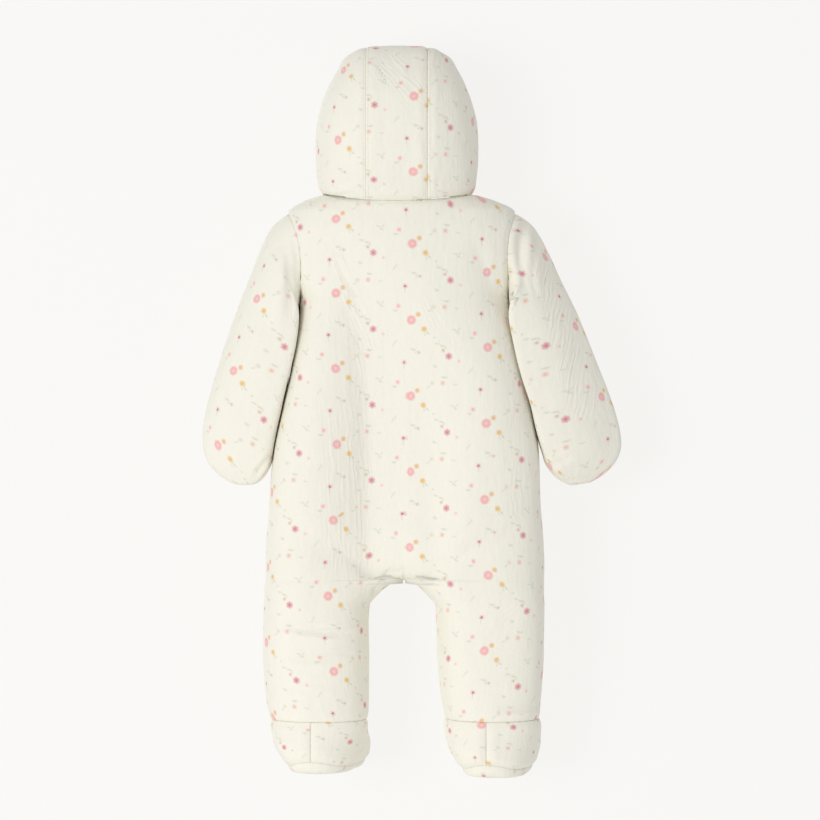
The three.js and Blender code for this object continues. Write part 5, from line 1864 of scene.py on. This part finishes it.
@dataclass
class Topstitching:
    """Rows of stitches beside the hood's seams, round its face opening and down both sides of the zip."""

    length: float = 2.3
    step: float = 3.1
    radius: float = 0.24
    beside_seam: float = 2.6
    beside_opening: float = 5.5
    beside_zip: float = 3.2
    lowest: float = -330.0

    def lines(self, shells: dict[str, Shell]) -> list[np.ndarray]:
        """The rows of stitches as lines on the finished cloth."""
        middle = shells["hood_middle"]
        found = [inset_line(middle, edge, self.beside_seam) for edge in (Edge.FIRST_COLUMN, Edge.LAST_COLUMN)]
        found.append(inset_line(middle, Edge.FIRST_ROW, self.beside_opening))
        for side in Side:
            half = shells["hood_side_" + side.word]
            found.append(inset_line(half, Edge.FIRST_COLUMN, self.beside_seam))
            found.append(inset_line(half, Edge.LAST_COLUMN, self.beside_opening))
            front = inset_line(shells["front_" + side.word], Edge.FIRST_COLUMN, self.beside_zip)
            found.append(front[front[:, 2] > self.lowest])
        return found

    def sew(self, rows: RowOfParts, shells: dict[str, Shell], finish: bpy.types.Material) -> bpy.types.Object:
        """Makes all stitches as one piece."""
        stitch = turned_bar("stitch", self.length, self.radius)
        return rows.along("topstitching", self.lines(shells), stitch, self.step, finish, 0.08, 3)


# --------------------------------------------------------------------------------------------------
# Studio
# --------------------------------------------------------------------------------------------------


@dataclass
class Studio:
    """A pale backdrop, a floor, soft light from the left and the photograph's camera."""

    background: tuple[float, float, float] = (0.919, 0.913, 0.896)
    distance: float = 3.0
    frame_size: float = 0.82
    aim: tuple[float, float] = (0.006, -0.206)

    def camera(self) -> None:
        """Looks at the back of the suit from behind, level."""
        data = bpy.data.cameras.new("camera")
        data.sensor_width = 36
        data.lens = 18 * self.distance / (self.frame_size / 2)
        camera = bpy.data.objects.new("camera", data)
        camera.location = (self.aim[0], -self.distance, self.aim[1])
        camera.rotation_euler = (math.pi / 2, 0, 0)
        bpy.context.scene.collection.objects.link(camera)
        bpy.context.scene.camera = camera

    def light(self, name: str, place: Sequence[float], aim: Sequence[float], size: float, power_w: float,
              colour: Sequence[float] = (1, 1, 1)) -> None:
        """Adds a soft square light."""
        data = bpy.data.lights.new(name, "AREA")
        data.size, data.energy, data.color = size, power_w, colour
        lamp = bpy.data.objects.new(name, data)
        lamp.location = place
        lamp.rotation_euler = (Vector(aim) - Vector(place)).to_track_quat("-Z", "Y").to_euler()
        bpy.context.scene.collection.objects.link(lamp)

    def world(self, strength: float) -> None:
        """An even white surrounding that shows as the pale background."""
        world = bpy.data.worlds.new("studio")
        bpy.context.scene.world = world
        world.use_nodes = True
        nodes, links = world.node_tree.nodes, world.node_tree.links
        nodes.clear()
        out = nodes.new("ShaderNodeOutputWorld")
        seen, lit = nodes.new("ShaderNodeBackground"), nodes.new("ShaderNodeBackground")
        seen.inputs[0].default_value = (*self.background, 1)
        lit.inputs[0].default_value = (1.0, 1.0, 1.0, 1)
        lit.inputs[1].default_value = strength
        path, choose = nodes.new("ShaderNodeLightPath"), nodes.new("ShaderNodeMixShader")
        links.new(path.outputs["Is Camera Ray"], choose.inputs[0])
        links.new(lit.outputs[0], choose.inputs[1])
        links.new(seen.outputs[0], choose.inputs[2])
        links.new(choose.outputs[0], out.inputs[0])

    def plane(self, name: str, corners: Sequence[Sequence[float]]) -> bpy.types.Object:
        """Adds a flat stage piece."""
        mesh = bpy.data.meshes.new(name)
        mesh.from_pydata(corners, [], [(0, 1, 2, 3)])
        obj = bpy.data.objects.new(name, mesh)
        bpy.context.scene.collection.objects.link(obj)
        return obj

    def backdrop(self, glow: float) -> None:
        """A pale wall close behind the suit that only catches its soft shadow."""
        y, half = 0.095, 0.62
        x, z = self.aim
        wall = self.plane("backdrop", [(x - half, y, z - half), (x + half, y, z - half), (x + half, y, z + half), (x - half, y, z + half)])
        wall.visible_diffuse = wall.visible_glossy = wall.visible_shadow = wall.visible_transmission = False
        shader = Shader("backdrop_paper")
        back = Sock(shader, shader.node("ShaderNodeNewGeometry").outputs["Backfacing"])
        edge_on = Sock(shader, shader.node("ShaderNodeLayerWeight", {}, {0: 0.5}).outputs["Facing"])
        place = shader.object_place()
        split = shader.node("ShaderNodeSeparateXYZ", {}, {0: place})
        across = shader.maths("ABSOLUTE", Sock(shader, split.outputs[0]) - x)
        up = shader.maths("ABSOLUTE", Sock(shader, split.outputs[2]) - z)
        fade = ((half - shader.maths("MAXIMUM", across, up)) * 8.0).clamped()
        shader.finish(Base_Color=tuple((1 - glow) * c for c in self.background), Roughness=1.0,
                      Specular_IOR_Level=0.0, Emission_Color=self.background, Emission_Strength=glow + 0.03,
                      Alpha=fade * (1 - back) * ((0.75 - edge_on) * 4.0).clamped())
        wall.data.materials.append(shader.material)

    def floor(self) -> None:
        """A pale floor below the frame of the main view."""
        z, half = -0.72, 0.72
        floor = self.plane("floor", [(-half, -half, z), (half, -half, z), (half, half, z), (-half, half, z)])
        shader = Shader("floor_paper")
        tone = shader.noise(shader.object_place(), 30.0, 3.0)
        shader.finish(Base_Color=shader.blend(tone, (0.60, 0.596, 0.588), (0.62, 0.616, 0.607)), Roughness=0.95,
                      Emission_Color=self.background, Emission_Strength=0.35)
        floor.data.materials.append(shader.material)

    def build(self) -> None:
        """Makes the whole studio."""
        view = bpy.context.scene.view_settings
        view.view_transform, view.look = "Standard", "None"
        self.camera()
        self.world(0.665)
        self.light("key", (-1.48, -2.61, -0.3), (0, 0, -0.2), 1.1, 31.0)
        self.light("front", (-1.2, 2.4, 0.6), (0, 0, -0.2), 1.4, 22.0)
        self.backdrop(0.85)
        self.floor()


# --------------------------------------------------------------------------------------------------
# Putting it together
# --------------------------------------------------------------------------------------------------


def declare(shell: Shell, obj: bpy.types.Object) -> None:
    """Sets a piece of cloth on the suit's body, in place of its node, and logs its cut's size and area."""
    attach(obj, "suit")
    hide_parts(shell.node)
    size = (shell.chart.max(axis=0) - shell.chart.min(axis=0)) * MM
    area = shell.area * 1e-6
    wide, long = float(size[0]), float(size[1])
    if area > wide * long:
        long = area / wide * 1.01
    LOG.info("%s: cut %.0f by %.0f mm, %.4f square metres", shell.name, wide * 1000, long * 1000, area)


def main() -> None:
    """Builds every piece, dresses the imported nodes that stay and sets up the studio."""
    logging.basicConfig(level=logging.INFO, format="%(message)s")
    studio = Studio()
    studio.build()
    body = Body()
    hood = Hood(body)
    shells = [body.back(), body.front(Side.LEFT), body.front(Side.RIGHT)]
    for side in Side:
        sleeve = Sleeve(body, side)
        foot = Foot(body, side)
        shells += [sleeve.half(Face.BACK), sleeve.half(Face.FRONT), hood.side(side), foot.upper(), foot.sole()]
    shells.append(hood.middle())
    gauze = PrintedGauze()
    cloth, lining = gauze.material(), Lining().material()
    sewing = Sewing(shells, Wrinkles())
    cut = {shell.node: shell for shell in shells}
    for shell, ids in zip(shells, sewing.edge_points):
        obj = sewing.sew(shell, ids)
        obj.data.materials.append(cloth)
        obj.data.materials.append(lining)
        declare(shell, obj)
    zipper = Zip(body)
    rows = RowOfParts("row_of_parts")
    tapes = zipper.tapes(Webbing().material())
    coil = zipper.coil(rows, Coil().material())
    for piece in (tapes, coil):
        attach(piece, "suit")
    stitches = Topstitching().sew(rows, cut, Thread().material())
    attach(stitches, "suit")
    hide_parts("zip_tape")
    metal = EnamelledMetal().material()
    for name in ("zip_slider", "zip_pull"):
        node = frame["nodes"][name]
        node.data.materials.clear()
        node.data.materials.append(metal)


if __name__ == "__main__":
    main()
